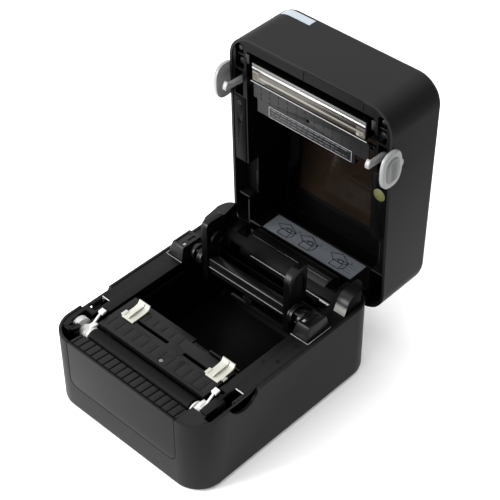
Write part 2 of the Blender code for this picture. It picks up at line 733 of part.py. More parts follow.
def media_guides():
    """Curved saddles on the plate, moved together by racks and one pinion under it."""
    pitch_r = RACK_MODULE * PINION_TEETH / 2
    pitch = pi * RACK_MODULE
    base = PLATE_TOP + CLEAR
    saddle = [
        (52.4, base), (75.4, base), (75.4, base + 2.9), (73.6, base + 3.1), (70, base + 2.2),
        (64, base + 1.4)
    ]
    saddle += [(52.4, base + 1.2)]
    for side, sign in sides():
        home = guide_pivots[side]
        guide = outline(
            f"media_guide_{side}", saddle, "X", mirrored((GUIDE_X - 9.5, GUIDE_X + 9.5), sign), home
        )
        fence = [
            (53.4, base + 0.5), (74.6, base + 0.5), (74.6, base + 3.1), (68, base + 3.1), (56, base + 2.8)
        ]
        join(
            guide,
            outline(f"guide_fence_{side}", fence, "X", mirrored((GUIDE_X - 1, GUIDE_X + 1), sign), home),
            box(
                f"guide_stem_{side}", mirrored((GUIDE_X - 3, GUIDE_X + 1), sign), (57, 59),
                (73.8, base + 1), home
            ),
        )
        part(guide, CREAM, "media_guide")

        # The left rack passes behind the pinion and the right one in front of it.
        over = -sign
        pitch_y = GUIDE_Y + over * pitch_r
        count = 19
        first = -15 if sign < 0 else -3
        toothed = rack_outline(first * pitch, pitch_y, -over, RACK_MODULE, count)
        bar_out = pitch_y + over * 3.4
        foot_in = GUIDE_Y - over * 1.2
        far = GUIDE_X + 4
        near = GUIDE_X - 6
        if sign < 0:
            shape = toothed + [(toothed[-1][0], bar_out), (-far, bar_out), (-far, foot_in), (-near, foot_in)]
            shape += [(-near, toothed[0][1])]
        else:
            shape = toothed + [(near, toothed[0][1]), (near, foot_in), (far, foot_in), (far, bar_out)]
            shape += [(toothed[0][0], bar_out)]
        part(outline(f"guide_rack_{side}", shape, "Z", (70.6, 73.4), home), GREY, "guide_rack")
    wheel = outline(
        "guide_pinion", gear_outline(PINION_TEETH, RACK_MODULE, 90 + 180 / PINION_TEETH, (0, GUIDE_Y)), "Z",
        (70.4, 73.6), guide_spin,
    )
    part(wheel, WHITE)


# Lid

def lid_top(y):
    """Height of the lid's top, which falls away towards the back."""
    start, reach, drop = 125.0, 63.0, 5.0
    return SEAM_Z + LID_HEIGHT - drop * (max(0.0, y - start) / reach) ** 2


def lid_loop(inset, down, shrink=1.0):
    """The lid's outline, moved in, drawn towards the middle, and down from the top surface."""
    middle = DEPTH / 2
    points = [(x * shrink, middle + (y - middle) * shrink) for x, y in plan(inset)]
    return [(x, y, lid_top(y) - down) for x, y in points]


def lid_shell():
    edge, skin = 6.0, 2.4
    loops = [lid_loop(WALL + edge, skin, 0.35), lid_loop(WALL + edge, skin, 0.7), lid_loop(WALL + edge, skin)]
    for k in (1, 2, 3):
        a = radians(30 * k)
        loops.append(lid_loop(WALL + (edge - 2) * (1 - sin(a)), skin + (edge - 2) * (1 - cos(a))))
    loops += [level(plan(WALL), LID_BOTTOM), level(plan(0), LID_BOTTOM)]
    for k in (0, 1, 2, 3):
        a = radians(30 * k)
        loops.append(lid_loop(edge * (1 - cos(a)), edge * (1 - sin(a))))
    loops += [lid_loop(edge, 0, 0.7), lid_loop(edge, 0, 0.35)]
    shell = loft("lid_shell", loops, lid)
    cut(shell, box("window_opening", (-62, 62), (92, 190), (SEAM_Z + 40, SEAM_Z + 80), lid))
    cut(shell, cylinder("button_hole", "Z", (62, 20), 6.4, (SEAM_Z + 40, SEAM_Z + 80), lid, 28))
    cut(shell, box("light_hole", (36, 50), (18, 22), (SEAM_Z + 40, SEAM_Z + 80), lid))
    for side, sign in sides():
        cut(
            shell,
            cylinder(f"shaft_hole_{side}", "X", (LATCH_Y, LATCH_Z), 3.4, mirrored((80, 95), sign), lid, 24)
        )
    part(shell, BLACK)


def lid_liner():
    """Inner skin of the lid: rim, side bands, hollow and the ledge above the hinge."""
    rim, hollow = 3.1, 70.0
    skin = 1.6
    front, ledge, back = 17.0, 200.0, 210.0
    low, step, up = LID_BOTTOM + 0.75, SEAM_Z + 25, 5.4

    def inner(grow, z):
        points = rounded((-hollow - grow, hollow + grow), (front - grow, back + grow), 3)
        return [(x, y, lid_top(y) - up if z is None else z) for x, y in points]

    loops = [
        level(plan(rim), low), inner(0, low), inner(0, None), inner(skin, None), inner(skin, low + skin),
        level(plan(rim), low + skin),
    ]
    liner = loft("lid_liner", loops, lid, ring=True)
    shelf = [
        (ledge, low), (ledge + 1.8, low), (ledge + 1.8, step - 1.8), (back + 0.8, step - 1.8),
        (back + 0.8, step), (ledge, step)
    ]
    join(liner, outline("liner_ledge", shelf, "X", (-hollow - 0.8, hollow + 0.8), lid))
    for side, sign in sides():
        cut(
            liner,
            box(
                f"cheek_room_{side}", mirrored((71.7, 90), sign), (133.5, 230), (SEAM_Z - 2, SEAM_Z + 8),
                lid
            ),
            box(
                f"block_room_{side}", mirrored((62, 90), sign), (133.5, 176), (SEAM_Z - 2, SEAM_Z + 11.5),
                lid
            ),
            box(f"hook_room_{side}", mirrored((74.5, 83.6), sign), (36, 62), (SEAM_Z - 2, SEAM_Z + 8), lid),
            cylinder(
                f"liner_shaft_hole_{side}", "X", (LATCH_Y, LATCH_Z), 3.4, mirrored((66, 76), sign), lid, 24
            ),
        )
    part(liner, DARK)


def lid_window():
    """Smoked pane that follows the lid's top."""
    y0, y1 = 92.4, 189.6
    steps = 10
    upper = [
        (y0 + (y1 - y0) * k / steps, lid_top(y0 + (y1 - y0) * k / steps) - 0.3) for k in range(steps + 1)
    ]
    lower = [(y, z - 1.8) for y, z in reversed(upper)]
    part(outline("lid_window", upper + lower, "X", (-61.6, 61.6), lid), SMOKED)


def ruler_plate():
    """Bent plate behind the printhead that presses the paper flat."""
    z = SEAM_Z
    skin = 1.5
    flat = z + 2.6
    lower = [(39.0, z - 0.6), (43.6, flat), (73, flat), (73, z + 8)]
    upper = [(71.5, z + 8), (71.5, flat + skin), (43.0, flat + skin), (39.0, z - 0.6 + skin)]
    plate = outline("ruler_plate", lower + upper, "X", (-63.8, 63.8), lid)
    cut(
        plate,
        box("plate_corner_left", (-70, -59.5), (57.5, 80), (z - 5, z + 12), lid),
        box("plate_corner_right", (49.5, 70), (60.5, 80), (z - 5, z + 12), lid),
    )
    cut(plate, cylinder("plate_hole", "Z", (-2, 53), 1.6, (z - 5, z + 12), lid, 16))
    part(plate, SATIN)


def printhead():
    """Aluminium heat sink with the ceramic print element on its face."""
    y0, y1 = 20.4, 37.8
    low = HEAD_FACE + 1.2
    profile = [(y0, low), (y1, low), (y1, low + 11)]
    for k in range(3):
        at = y1 - 3.2 - k * 5.2
        profile += [(at, low + 11), (at, low + 4), (at - 2.4, low + 4), (at - 2.4, low + 11)]
    profile += [(y0, low + 11)]
    part(outline("heat_sink", profile, "X", (-62.5, 62.5), head), ALUMINIUM)
    face = [(21.6, low - CLEAR), (21.6, HEAD_FACE + 0.3), (24, HEAD_FACE + 0.2), (26.2, HEAD_FACE),
    (28.4, HEAD_FACE + 0.2),
            (36.4, HEAD_FACE + 0.3), (36.4, low - CLEAR)]
    part(outline("thermal_element", face, "X", (-60, 60), head), CERAMIC)


def latch_parts():
    """Levers at both sides of the lid, joined by a shaft. Their hooks hold the lid shut."""
    part(cylinder("latch_shaft", "X", (LATCH_Y, LATCH_Z), 2.6, (-75.8, 75.8), latch, 20), STEEL)
    tip = SEAM_Z - 18
    hook = [
        (LATCH_Y + 4, LATCH_Z), (LATCH_Y + 2.4, LATCH_Z + 3.6), (LATCH_Y - 2.4, LATCH_Z + 3.6),
        (LATCH_Y - 4, LATCH_Z), (44, SEAM_Z + 4), (43.4, tip + 5.2), (40, tip + 3.6), (40.6, tip + 2),
        (44, tip), (47.4, tip), (49, SEAM_Z + 2),
    ]
    for side, sign in sides():
        lever = outline(f"latch_lever_{side}", hook, "X", mirrored((76.2, 80.6), sign), latch)
        oval = [(54 + 19.5 * cos(radians(a)), SEAM_Z + 1 + 9.3 * sin(radians(a))) for a in range(0, 360, 15)]
        pad = [(54 + 13 * cos(radians(a)), SEAM_Z + 1 + 6.4 * sin(radians(a))) for a in range(0, 360, 15)]
        paddle = outline(f"paddle_{side}", oval, "X", mirrored((HALF + 0.6, HALF + 4.8), sign), latch)
        pad_plate = outline(f"paddle_pad_{side}", pad, "X", mirrored((HALF + 4, HALF + 6.2), sign), latch)
        neck = [(50, SEAM_Z + 6), (56, SEAM_Z + 6), (56, LATCH_Z + 2), (50, LATCH_Z + 2)]
        join(
            lever,
            cylinder(
                f"latch_boss_{side}", "X", (LATCH_Y, LATCH_Z), 2.9, mirrored((76.4, HALF + 3), sign), latch,
                20
            ),
            outline(f"latch_neck_{side}", neck, "X", mirrored((HALF + 0.6, HALF + 4), sign), latch),
            paddle,
            pad_plate,
        )
        part(lever, WHITE, "latch_lever")


def lid_controls():
    top = SEAM_Z + LID_HEIGHT
    cap = turned(
        "feed_button", [(0, 0.6), (5.2, 0.6), (6, -0.2), (6, -3.4), (0, -3.4)], (62, 20, top), button
    )
    part(cap, GREY)
    part(box("status_light", (36.3, 49.7), (18.3, 21.7), (top - 3, top - 0.2), lid), LENS)


base_housing()
base_plate()
front_panel()
exit_comb()
side_decks()
bay_tray()
guide_plate()
gap_sensor()
platen_brackets()
corner_blocks()
stepper_motor()
main_board()
rear_ports()
feet()
rear_bridge()
hinge_pins()
hinge_cheeks()
hinge_arms()
roll_holder()
roll_flanges()
platen_drive()
bearings()
media_guides()
lid_shell()
lid_liner()
lid_window()
ruler_plate()
printhead()
latch_parts()
lid_controls()
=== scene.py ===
"""Looks of the receipt printer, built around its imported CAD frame.

Shapes are drawn in millimetres with the lid closed (X right, Y back from the front face, Z up from the
table), as the CAD part is, and each finished piece is then put where its body rests.
"""

import json
from math import cos, pi, radians, sin

import bmesh
import bpy
from mathutils import Matrix, Vector


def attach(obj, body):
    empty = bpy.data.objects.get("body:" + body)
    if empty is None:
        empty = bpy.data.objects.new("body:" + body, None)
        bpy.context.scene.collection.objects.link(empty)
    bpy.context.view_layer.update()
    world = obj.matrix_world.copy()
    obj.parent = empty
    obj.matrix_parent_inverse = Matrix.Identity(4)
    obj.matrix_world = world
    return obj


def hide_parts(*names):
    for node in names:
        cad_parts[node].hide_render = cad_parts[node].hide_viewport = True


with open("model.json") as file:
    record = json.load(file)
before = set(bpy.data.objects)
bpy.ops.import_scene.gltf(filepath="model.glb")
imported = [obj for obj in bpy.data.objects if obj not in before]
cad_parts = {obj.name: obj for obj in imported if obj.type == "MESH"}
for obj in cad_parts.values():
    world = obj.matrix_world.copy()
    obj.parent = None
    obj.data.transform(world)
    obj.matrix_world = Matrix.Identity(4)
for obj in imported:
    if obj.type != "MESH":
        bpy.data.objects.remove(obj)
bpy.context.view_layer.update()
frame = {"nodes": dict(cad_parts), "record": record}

MM = 0.001
SEAM = 79.6
WIDTH, DEPTH, CORNER, WALL = 178.0, 218.6, 25.0, 2.6
HALF = WIDTH / 2
HINGE_Y, HINGE_Z, OPEN = 207.7, 59.8, radians(88.7)
HINGE_COVER = 19.4  # outer radius of the cover over the hinge line
PLATEN_Y, PLATEN_Z = 26.2, 69.8
LATCH_Y, LATCH_Z = 53, 91.6  # shaft of the two latch levers
RAIL_END = (0, 153.4, 81.75)  # middle of the round ends of the roll holder's rail
LID_HEIGHT = 64.4
FEED_BUTTON = (62, 20)
ROUNDNESS = 2 / 2.6  # how square the latch paddles are
PANE_X, PANE_Y = (-62, 62), (92, 190)
REST_Y = 144.9
BASE = Matrix.Translation((0, -REST_Y * MM, 0)) @ Matrix.Scale(MM, 4)
LID = (
    Matrix.Translation((0, (HINGE_Y - REST_Y) * MM, HINGE_Z * MM))
    @ Matrix.Rotation(-OPEN, 4, "X") @ Matrix.Scale(MM, 4) @ Matrix.Translation((0, -HINGE_Y, -HINGE_Z))
)
LID_BODIES = ("lid", "latch", "printhead")
scratch = bpy.data.collections.new("scratch")
bpy.context.scene.collection.children.link(scratch)


# Materials

PATCH_SCALE = 22.0  # soft patches of colour, per metre
BUMP_DEPTH = 0.00008


def nodes_of(name):
    made = bpy.data.materials.new(name)
    made.use_nodes = True
    tree = made.node_tree
    return made, tree, tree.nodes["Principled BSDF"]


def node(tree, kind, **settings):
    made = tree.nodes.new("ShaderNode" + kind)
    for key, value in settings.items():
        if hasattr(made, key):
            setattr(made, key, value)
        else:
            made.inputs[key.replace("_", " ")].default_value = value
    return made


def assign(shader, **values):
    for key, value in values.items():
        shader.inputs[key.replace("_", " ")].default_value = value


def noise(tree, scale, detail=3.0, stretch=(1, 1, 1)):
    where = node(tree, "TexCoord")
    mapping = node(tree, "Mapping")
    mapping.inputs["Scale"].default_value = stretch
    tree.links.new(where.outputs["Object"], mapping.inputs["Vector"])
    made = node(tree, "TexNoise", Scale=scale, Detail=detail)
    tree.links.new(mapping.outputs["Vector"], made.inputs["Vector"])
    return made.outputs["Fac"]


def between(tree, factor, low, high, from_low=0.3, from_high=0.7):
    made = node(tree, "MapRange")
    assign(made, From_Min=from_low, From_Max=from_high, To_Min=low, To_Max=high)
    tree.links.new(factor, made.inputs["Value"])
    return made.outputs["Result"]


def mixed(tree, factor, first, second):
    made = node(tree, "Mix", data_type="RGBA")
    made.inputs[6].default_value = (*first, 1)
    made.inputs[7].default_value = (*second, 1)
    tree.links.new(factor, made.inputs[0])
    return made.outputs[2]


def surface(name, colour, roughness, grain=2500.0, bump=0.06, patch=0.06, rough_spread=0.05, metallic=0.0,
            stretch=(1, 1, 1), coat=0.0, specular=0.5):
    """A moulded, cast or drawn surface: colour in soft patches, fine grain in its bump and gloss."""
    made, tree, shader = nodes_of(name)
    wide = noise(tree, PATCH_SCALE, 4.0)
    darker = tuple(c * (1 - patch) for c in colour)
    lighter = tuple(min(1.0, c * (1 + patch)) for c in colour)
    tree.links.new(mixed(tree, between(tree, wide, 0, 1), darker, lighter), shader.inputs["Base Color"])
    fine = noise(tree, grain, 2.0, stretch)
    rough = between(tree, fine, max(0.02, roughness - rough_spread), roughness + rough_spread)
    tree.links.new(rough, shader.inputs["Roughness"])
    relief = node(tree, "Bump", Strength=bump, Distance=BUMP_DEPTH)
    tree.links.new(fine, relief.inputs["Height"])
    tree.links.new(relief.outputs["Normal"], shader.inputs["Normal"])
    assign(shader, Metallic=metallic, Specular_IOR_Level=specular, Coat_Weight=coat, Coat_Roughness=0.1)
    return made


def product(tree, first, second):
    both = node(tree, "Math", operation="MULTIPLY")
    tree.links.new(first, both.inputs[0])
    tree.links.new(second, both.inputs[1])
    return both.outputs[0]


def facing_and_place(tree):
    """The split world normal and the split world position of a surface."""
    where = node(tree, "NewGeometry")
    split = [node(tree, "SeparateXYZ") for _ in range(2)]
    tree.links.new(where.outputs["Normal"], split[0].inputs[0])
    tree.links.new(where.outputs["Position"], split[1].inputs[0])
    return split[0].outputs, split[1].outputs


def painted_highlight_cheek(made):
    """A painted highlight, pale base colour low on the faces that look forwards, and painted shade, less
    specular on the faces turned right.
    """
    tree = made.node_tree
    shader = tree.nodes["Principled BSDF"]
    facing, place = facing_and_place(tree)
    # painted highlight mask: faces that look forwards and sit low
    low = product(
        tree, between(tree, facing["Y"], 1, 0, -0.9, -0.3), between(tree, place["Z"], 1, 0, 0.0835, 0.087)
    )
    # painted shade: less specular on the faces turned right
    tree.links.new(between(tree, facing["X"], 0.2, 0.01, 0.2, 0.7), shader.inputs["Specular IOR Level"])
    # the pale colour of the painted highlight, mixed in by that mask
    tree.links.new(mixed(tree, low, (0.0022, 0.0022, 0.0024), (0.24, 0.24, 0.225)), shader.inputs["Base Color"])
    return made


def casing_plastic(name):
    return surface(name, (0.0058, 0.0058, 0.006), 0.5, grain=2600, bump=0.35, patch=0.04, specular=0.12)


CASING = casing_plastic("casing_abs")
GLOSS = surface(
    "moulded_black", (0.0022, 0.0022, 0.0024), 0.2, 900, 0.02, 0.1, rough_spread=0.02, specular=0.24
)
SHEEN = surface("satin_black", (0.0026, 0.0026, 0.0027), 0.34, 1400, 0.12, 0.08, specular=0.18)
DECK = surface("deck_grey", (0.01, 0.01, 0.0105), 0.42, 2000, 0.18, 0.07, specular=0.18)
PLATE = surface("plate_grey", (0.0036, 0.0036, 0.004), 0.36, 1800, 0.12, 0.08, specular=0.13)
RUBBER = surface("platen_rubber", (0.0021, 0.0021, 0.0022), 0.62, 1500, 0.3, stretch=(0.2, 1, 1), specular=0.08)
FOOT = surface("foot_rubber", (0.02, 0.02, 0.021), 0.85, 1600, 0.4)
WHITE = surface("white_acetal", (0.44, 0.44, 0.43), 0.38, 1200, 0.06, 0.03)
CREAM = surface("cream_abs", (0.35, 0.348, 0.305), 0.4, 1500, 0.08, 0.04)
SILVER = surface("light_grey_abs", (0.2, 0.203, 0.203), 0.36, 1700, 0.1, 0.04)
GREY = surface("grey_abs", (0.17, 0.17, 0.175), 0.42, 1600, 0.12, 0.05)
DARK = surface("dark_moulding", (0.002, 0.002, 0.0021), 0.36, 1700, 0.15, 0.08, specular=0.1)
SATIN_BLACK = surface(
    "ribbed_black", (0.0032, 0.0032, 0.0034), 0.3, 1300, 0.01, 0.1, specular=0.2, rough_spread=0.008
)
FLANGE = surface(
    "flange_black", (0.0009, 0.0009, 0.001), 0.34, 1200, 0.005, 0.1, specular=0.14, rough_spread=0.005
)
BLOCK = surface("block_black", (0.0036, 0.0036, 0.0038), 0.3, 1500, 0.03, 0.1, specular=0.16)
# the cheeks carry a painted highlight low on their fronts and painted shade on their right sides
CHEEK = painted_highlight_cheek(surface("cheek_painted_highlight", (0.006, 0.006, 0.0064), 0.36, 900, 0.004, 0.1,
                               specular=0.4, rough_spread=0.004))
BRIDGE = surface("cover_black", (0.0016, 0.0016, 0.0017), 0.5, 1500, 0.1, 0.1, specular=0.055)
LINER = surface("liner_black", (0.0016, 0.0016, 0.0017), 0.34, 1500, 0.08, 0.1, specular=0.06)
BAND = surface("band_black", (0.001, 0.001, 0.0011), 0.4, 1600, 0.1, 0.1, specular=0.03)
COMB = surface("comb_grey", (0.0072, 0.0072, 0.0075), 0.46, 2200, 0.16, 0.06, specular=0.12)
RULER = surface("ruler_grey", (0.007, 0.007, 0.0075), 0.42, 1900, 0.1, 0.08, specular=0.12)
# Near-black for painted shade: the sheet behind the front panel's seam and the walls of the lid's side pockets.
SHADOW = surface("painted_shade_black", (0.0012, 0.0012, 0.0012), 0.8, 900, 0.05, 0.1, specular=0.05)
DARK_ALU = surface(
    "dark_aluminium", (0.017, 0.017, 0.0165), 0.38, 900, 0.08, metallic=1.0, stretch=(0.03, 1, 1)
)
POLISHED = surface("polished_bar", (0.4, 0.395, 0.375), 0.16, 600, 0.03, metallic=1.0, stretch=(0.02, 1, 1))
LIP = surface("grey_lip", (0.095, 0.095, 0.09), 0.4, 700, 0.03, 0.1, specular=0.3)
PAD = surface("pale_pads", (0.15, 0.144, 0.12), 0.3, 700, 0.03, 0.1, specular=0.4)
EPOXY = surface("epoxy_strip", (0.012, 0.009, 0.006), 0.28, 700, 0.05, 0.15, specular=0.15)
GOLD = surface("gold_pads", (0.2, 0.18, 0.13), 0.3, 800, 0.03, metallic=1.0)
SILVER_PAD = surface("grey_pad", (0.125, 0.13, 0.13), 0.42, 1900, 0.2, 0.05, specular=0.35)
STICKER_RING = surface("sticker_ring", (0.03, 0.032, 0.012), 0.4, 900, 0.03)
FAINT = surface("faint_print", (0.095, 0.097, 0.102), 0.5, 900, 0.03)
TUB = surface("tub_black", (0.0011, 0.0011, 0.0012), 0.34, 1300, 0.05, 0.12, specular=0.05)
# Light grey: the block clips and trims, and the thin painted highlight lines along the hinge cover's lip and
# the ruler's bend.
EDGE = surface("light_grey_and_painted_highlight", (0.22, 0.22, 0.222), 0.3, 900, 0.04, 0.1, specular=0.5)
STEEL = surface("bright_steel", (0.34, 0.34, 0.345), 0.26, 700, 0.06, metallic=1.0, stretch=(0.03, 1, 1))
CERAMIC = surface("print_glaze", (0.048, 0.044, 0.037), 0.12, 500, 0.02, 0.12, specular=0.3)
BOARD = surface("solder_mask", (0.02, 0.11, 0.05), 0.35, 800, 0.1, 0.12)
LENS = surface("lens", (0.12, 0.3, 0.52), 0.2, 600, 0.02, coat=0.3)
LABEL = surface("label_silver", (0.105, 0.115, 0.13), 0.42, 900, 0.05, 0.06, specular=0.4)
INK = surface("label_ink", (0.0012, 0.0012, 0.0014), 0.5, 900, 0.04, specular=0.1)
PAPER = surface("label_paper", (0.33, 0.37, 0.41), 0.5, 1400, 0.08, 0.03)
STICKER = surface("round_sticker", (0.07, 0.072, 0.022), 0.35, 900, 0.05)
PRINT = surface("white_print", (0.26, 0.265, 0.28), 0.5, 900, 0.03)


def smoked(name):
    made, tree, shader = nodes_of(name)
    wide = noise(tree, 26.0, 3.0)
    tree.links.new(mixed(tree, between(tree, wide, 0, 1), (0.0078, 0.005, 0.0034), (0.012, 0.008, 0.0054)),
                   shader.inputs["Base Color"])
    assign(shader, Roughness=0.1, Alpha=0.99, Specular_IOR_Level=0.18)
    return made


WINDOW = smoked("smoked_pane")


def lid_casing():
    """The casing plastic as the lid has it, with painted shade: faces turned right get less specular the higher
    they sit, so that side darkens towards the top.
    """
    made = casing_plastic("lid_abs")
    tree = made.node_tree
    facing, place = facing_and_place(tree)
    high = product(
        tree, between(tree, facing["X"], 0, 1, 0.5, 0.95), between(tree, place["Z"], 0, 1, 0.05, 0.21)
    )
    # painted shade: the specular level falls on the upper right side
    painted_shade = between(tree, high, 0.12, 0.045, 0, 1)
    tree.links.new(painted_shade, tree.nodes["Principled BSDF"].inputs["Specular IOR Level"])
    return made


LID_CASING = lid_casing()


# Shapes, in millimetres

def loose(name, build):
    mesh = bpy.data.meshes.new(name)
    bmesh.ops.recalc_face_normals(build, faces=build.faces)
    build.to_mesh(mesh)
    build.free()
    made = bpy.data.objects.new(name, mesh)
    scratch.objects.link(made)
    return made


def box(x, y, z):
    build = bmesh.new()
    bmesh.ops.create_cube(build, size=1)
    low, high = Vector((x[0], y[0], z[0])), Vector((x[1], y[1], z[1]))
    bmesh.ops.scale(build, vec=high - low, verts=build.verts)
    bmesh.ops.translate(build, vec=(low + high) / 2, verts=build.verts)
    return loose("box", build)


def rod(axis, centre, radius, span, sides=40):
    turn = {"X": Matrix.Rotation(pi / 2, 4, "Y"), "Y": Matrix.Rotation(-pi / 2, 4, "X"), "Z": Matrix()}
    place = list(centre)
    place.insert("XYZ".index(axis), (span[0] + span[1]) / 2)
    build = bmesh.new()
    bmesh.ops.create_cone(
        build, cap_ends=True, segments=sides, radius1=radius, radius2=radius,
        depth=span[1] - span[0], matrix=Matrix.Translation(place) @ turn[axis],
    )
    return loose("rod", build)


def prism(points, axis, span):
    """An outline extruded: points are (y, z) along X, (x, z) along Y and (x, y) along Z."""
    place = {
        "X": lambda u, v, w: (w, u, v), "Y": lambda u, v, w: (u, w, v), "Z": lambda u, v, w: (u, v, w)
    }[axis]
    build = bmesh.new()
    ends = [[build.verts.new(place(u, v, w)) for u, v in points] for w in span]
    for end in ends:
        build.faces.new(end)
    for k in range(len(points)):
        n = (k + 1) % len(points)
        build.faces.new((ends[0][k], ends[0][n], ends[1][n], ends[1][k]))
    return loose("prism", build)


def loft(loops, ring=False):
    build = bmesh.new()
    rows = [[build.verts.new(p) for p in loop] for loop in loops]
    for lower, upper in zip(rows, rows[1:] + rows[:1] if ring else rows[1:]):
        for k in range(len(lower)):
            n = (k + 1) % len(lower)
            build.faces.new((lower[k], lower[n], upper[n], upper[k]))
    if not ring:
        build.faces.new(rows[0])
        build.faces.new(rows[-1])
    return loose("loft", build)


def lathe(profile, axis, centre, sides=48):
    """A profile of (radius, place along the axis), turned about it."""
    loops = []
    for k in range(sides):
        a = 2 * pi * k / sides
        turned = {
            "X": lambda r, h: (centre[0] + h, centre[1] + r * cos(a), centre[2] + r * sin(a)),
            "Y": lambda r, h: (centre[0] + r * cos(a), centre[1] + h, centre[2] - r * sin(a)),
            "Z": lambda r, h: (centre[0] + r * cos(a), centre[1] + r * sin(a), centre[2] + h),
        }[axis]
        loops.append([turned(r, h) for r, h in profile])
    build = bmesh.new()
    rows = [[build.verts.new(p) for p in loop] for loop in loops]
    for k in range(sides):
        one, two = rows[k], rows[(k + 1) % sides]
        for i in range(len(profile) - 1):
            build.faces.new((one[i], one[i + 1], two[i + 1], two[i]))
    bmesh.ops.remove_doubles(build, verts=build.verts, dist=1e-4)
    return loose("lathe", build)


def wire(points, radius, closed=False):
    """A round cord or bead through points, as a mesh."""
    curve = bpy.data.curves.new("wire", "CURVE")
    curve.dimensions = "3D"
    curve.bevel_depth = radius
    curve.bevel_resolution = 2
    curve.use_fill_caps = True
    spline = curve.splines.new("POLY")
    spline.points.add(len(points) - 1)
    for point, p in zip(spline.points, points):
        point.co = (*p, 1)
    spline.use_cyclic_u = closed
    holder = bpy.data.objects.new("wire", curve)
    scratch.objects.link(holder)
    bpy.context.view_layer.update()
    mesh = bpy.data.meshes.new_from_object(holder.evaluated_get(bpy.context.evaluated_depsgraph_get()))
    bpy.data.objects.remove(holder, do_unlink=True)
    made = bpy.data.objects.new("wire", mesh)
    scratch.objects.link(made)
    return made


def settled(obj):
    """Applies the object's modifiers."""
    bpy.context.view_layer.update()
    mesh = bpy.data.meshes.new_from_object(obj.evaluated_get(bpy.context.evaluated_depsgraph_get()))
    obj.modifiers.clear()
    obj.data = mesh
    return obj


def combine(obj, others, operation):
    for other in others:
        modifier = obj.modifiers.new("combine", "BOOLEAN")
        modifier.object = other
        modifier.operation = operation
    settled(obj)
    for other in others:
        bpy.data.objects.remove(other, do_unlink=True)
    return obj


def cut(obj, *others):
    return combine(obj, others, "DIFFERENCE")


def triangulated(obj):
    build = bmesh.new()
    build.from_mesh(obj.data)
    bmesh.ops.triangulate(build, faces=build.faces)
    build.to_mesh(obj.data)
    build.free()
    return obj


def join(obj, *others):
    return combine(obj, others, "UNION")


def group(*others):
    """Loose shapes as one object, without a Boolean."""
    build = bmesh.new()
    for other in others:
        build.from_mesh(other.data)
        bpy.data.objects.remove(other, do_unlink=True)
    mesh = bpy.data.meshes.new("group")
    build.to_mesh(mesh)
    build.free()
    made = bpy.data.objects.new("group", mesh)
    scratch.objects.link(made)
    return made


def piece(obj, name, look, body="base", where=None, bevel=0.3, replaces=(), segments=2, smooth=40,
          tidy=True):
    """Finishes a shape as a piece of the printer: bevelled, shaded, placed and riding on its body."""
    if tidy:
        build = bmesh.new()
        build.from_mesh(obj.data)
        bmesh.ops.remove_doubles(build, verts=build.verts, dist=1e-4)
        bmesh.ops.dissolve_limit(build, angle_limit=radians(0.2), verts=build.verts, edges=build.edges)
        build.to_mesh(obj.data)
        build.free()
    if bevel:
        modifier = obj.modifiers.new("edges", "BEVEL")
        modifier.width = bevel
        modifier.segments = segments
        modifier.limit_method = "ANGLE"
        modifier.angle_limit = radians(30)
        modifier.miter_outer = "MITER_ARC"
        settled(obj)
    obj.data.transform(where or (LID if body in LID_BODIES else BASE))
    obj.data.shade_smooth()
    obj.data.set_sharp_from_angle(angle=radians(smooth))
    obj.data.materials.clear()
    obj.data.materials.append(look)
    obj.name = name
    scratch.objects.unlink(obj)
    bpy.context.scene.collection.objects.link(obj)
    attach(obj, body)
    if replaces:
        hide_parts(*replaces)
    return obj


def arc(u, v, radius, start, end, steps=8):
    angles = [radians(start + (end - start) * k / steps) for k in range(steps + 1)]
    return [(u + radius * cos(a), v + radius * sin(a)) for a in angles]


def rounded(x, y, radius, steps=8):
    """A rectangle with round corners, anticlockwise from the corner at high x, low y."""
    corners = (
        (x[1], y[0], -1, 1, -90), (x[1], y[1], -1, -1, 0), (x[0], y[1], 1, -1, 90), (x[0], y[0], 1, 1, 180)
    )
    points = []
    for cx, cy, sx, sy, start in corners:
        points += arc(cx + sx * radius, cy + sy * radius, radius, start, start + 90, steps)
    return points


def plan(inset):
    """The casing's outline from above, moved inwards."""
    return rounded((inset - HALF, HALF - inset), (inset, DEPTH - inset), CORNER - inset, 20)


def level(points, z):
    return [(x, y, z) for x, y in points]


def mirrored(span, sign):
    return tuple(sorted(sign * value for value in span))


def side_box(sign, x, y, z):
    return box(mirrored(x, sign), y, z)


SIDES = (("left", -1), ("right", 1))


def recolour(look, *names):
    for name in names:
        for slot in frame["nodes"][name].material_slots:
            slot.material = look


# CAD solids with their edges eased

BODY_OF = {name: body for body, names in frame["record"]["behaviour"]["bodies"].items() for name in names}
BASE_TOP = SEAM - 0.25
LID_BOTTOM = SEAM + 0.25


def fine(look, *names, width=0.3):
    """Stands for CAD nodes whose shape is right, with small radii along their edges."""
    for name in names:
        made = bpy.data.objects.new("fine", frame["nodes"][name].data.copy())
        scratch.objects.link(made)
        made.data.transform(Matrix.Scale(1 / MM, 4))
        piece(made, name + "_fine", look, BODY_OF[name], Matrix.Scale(MM, 4), width, (name,), smooth=35)


fine(DARK, "side_deck_left", "side_deck_right", "corner_block_left", width=0.35)
fine(SHEEN, "switch_bezel", "dc_jack", "base_plate")
fine(TUB, "bay_tray")
fine(CASING, "power_rocker", "hinge_arm_left", "hinge_arm_right", width=0.5)
fine(SHEEN, "platen_bracket_left", "platen_bracket_right", "stepper_motor")
fine(FAINT, "gap_sensor", width=0.2)
fine(STEEL, "usb_port", "hinge_pin_left", "hinge_pin_right", "latch_shaft", "platen_shaft", "motor_pinion")
fine(FOOT, *[f"rubber_foot_{k}" for k in (1, 2, 3, 4)], width=0.5)
fine(WHITE, "idler_gear", "guide_pinion", width=0.12)
fine(SHEEN, "holder_pinion", width=0.12)
fine(GREY, "guide_rack_left", "guide_rack_right", "feed_button", width=0.15)
fine(BOARD, "main_board")
fine(LENS, "status_light")
fine(DARK_ALU, "heat_sink")
recolour(RUBBER, "platen_roller")
recolour(WINDOW, "lid_window")


# Base

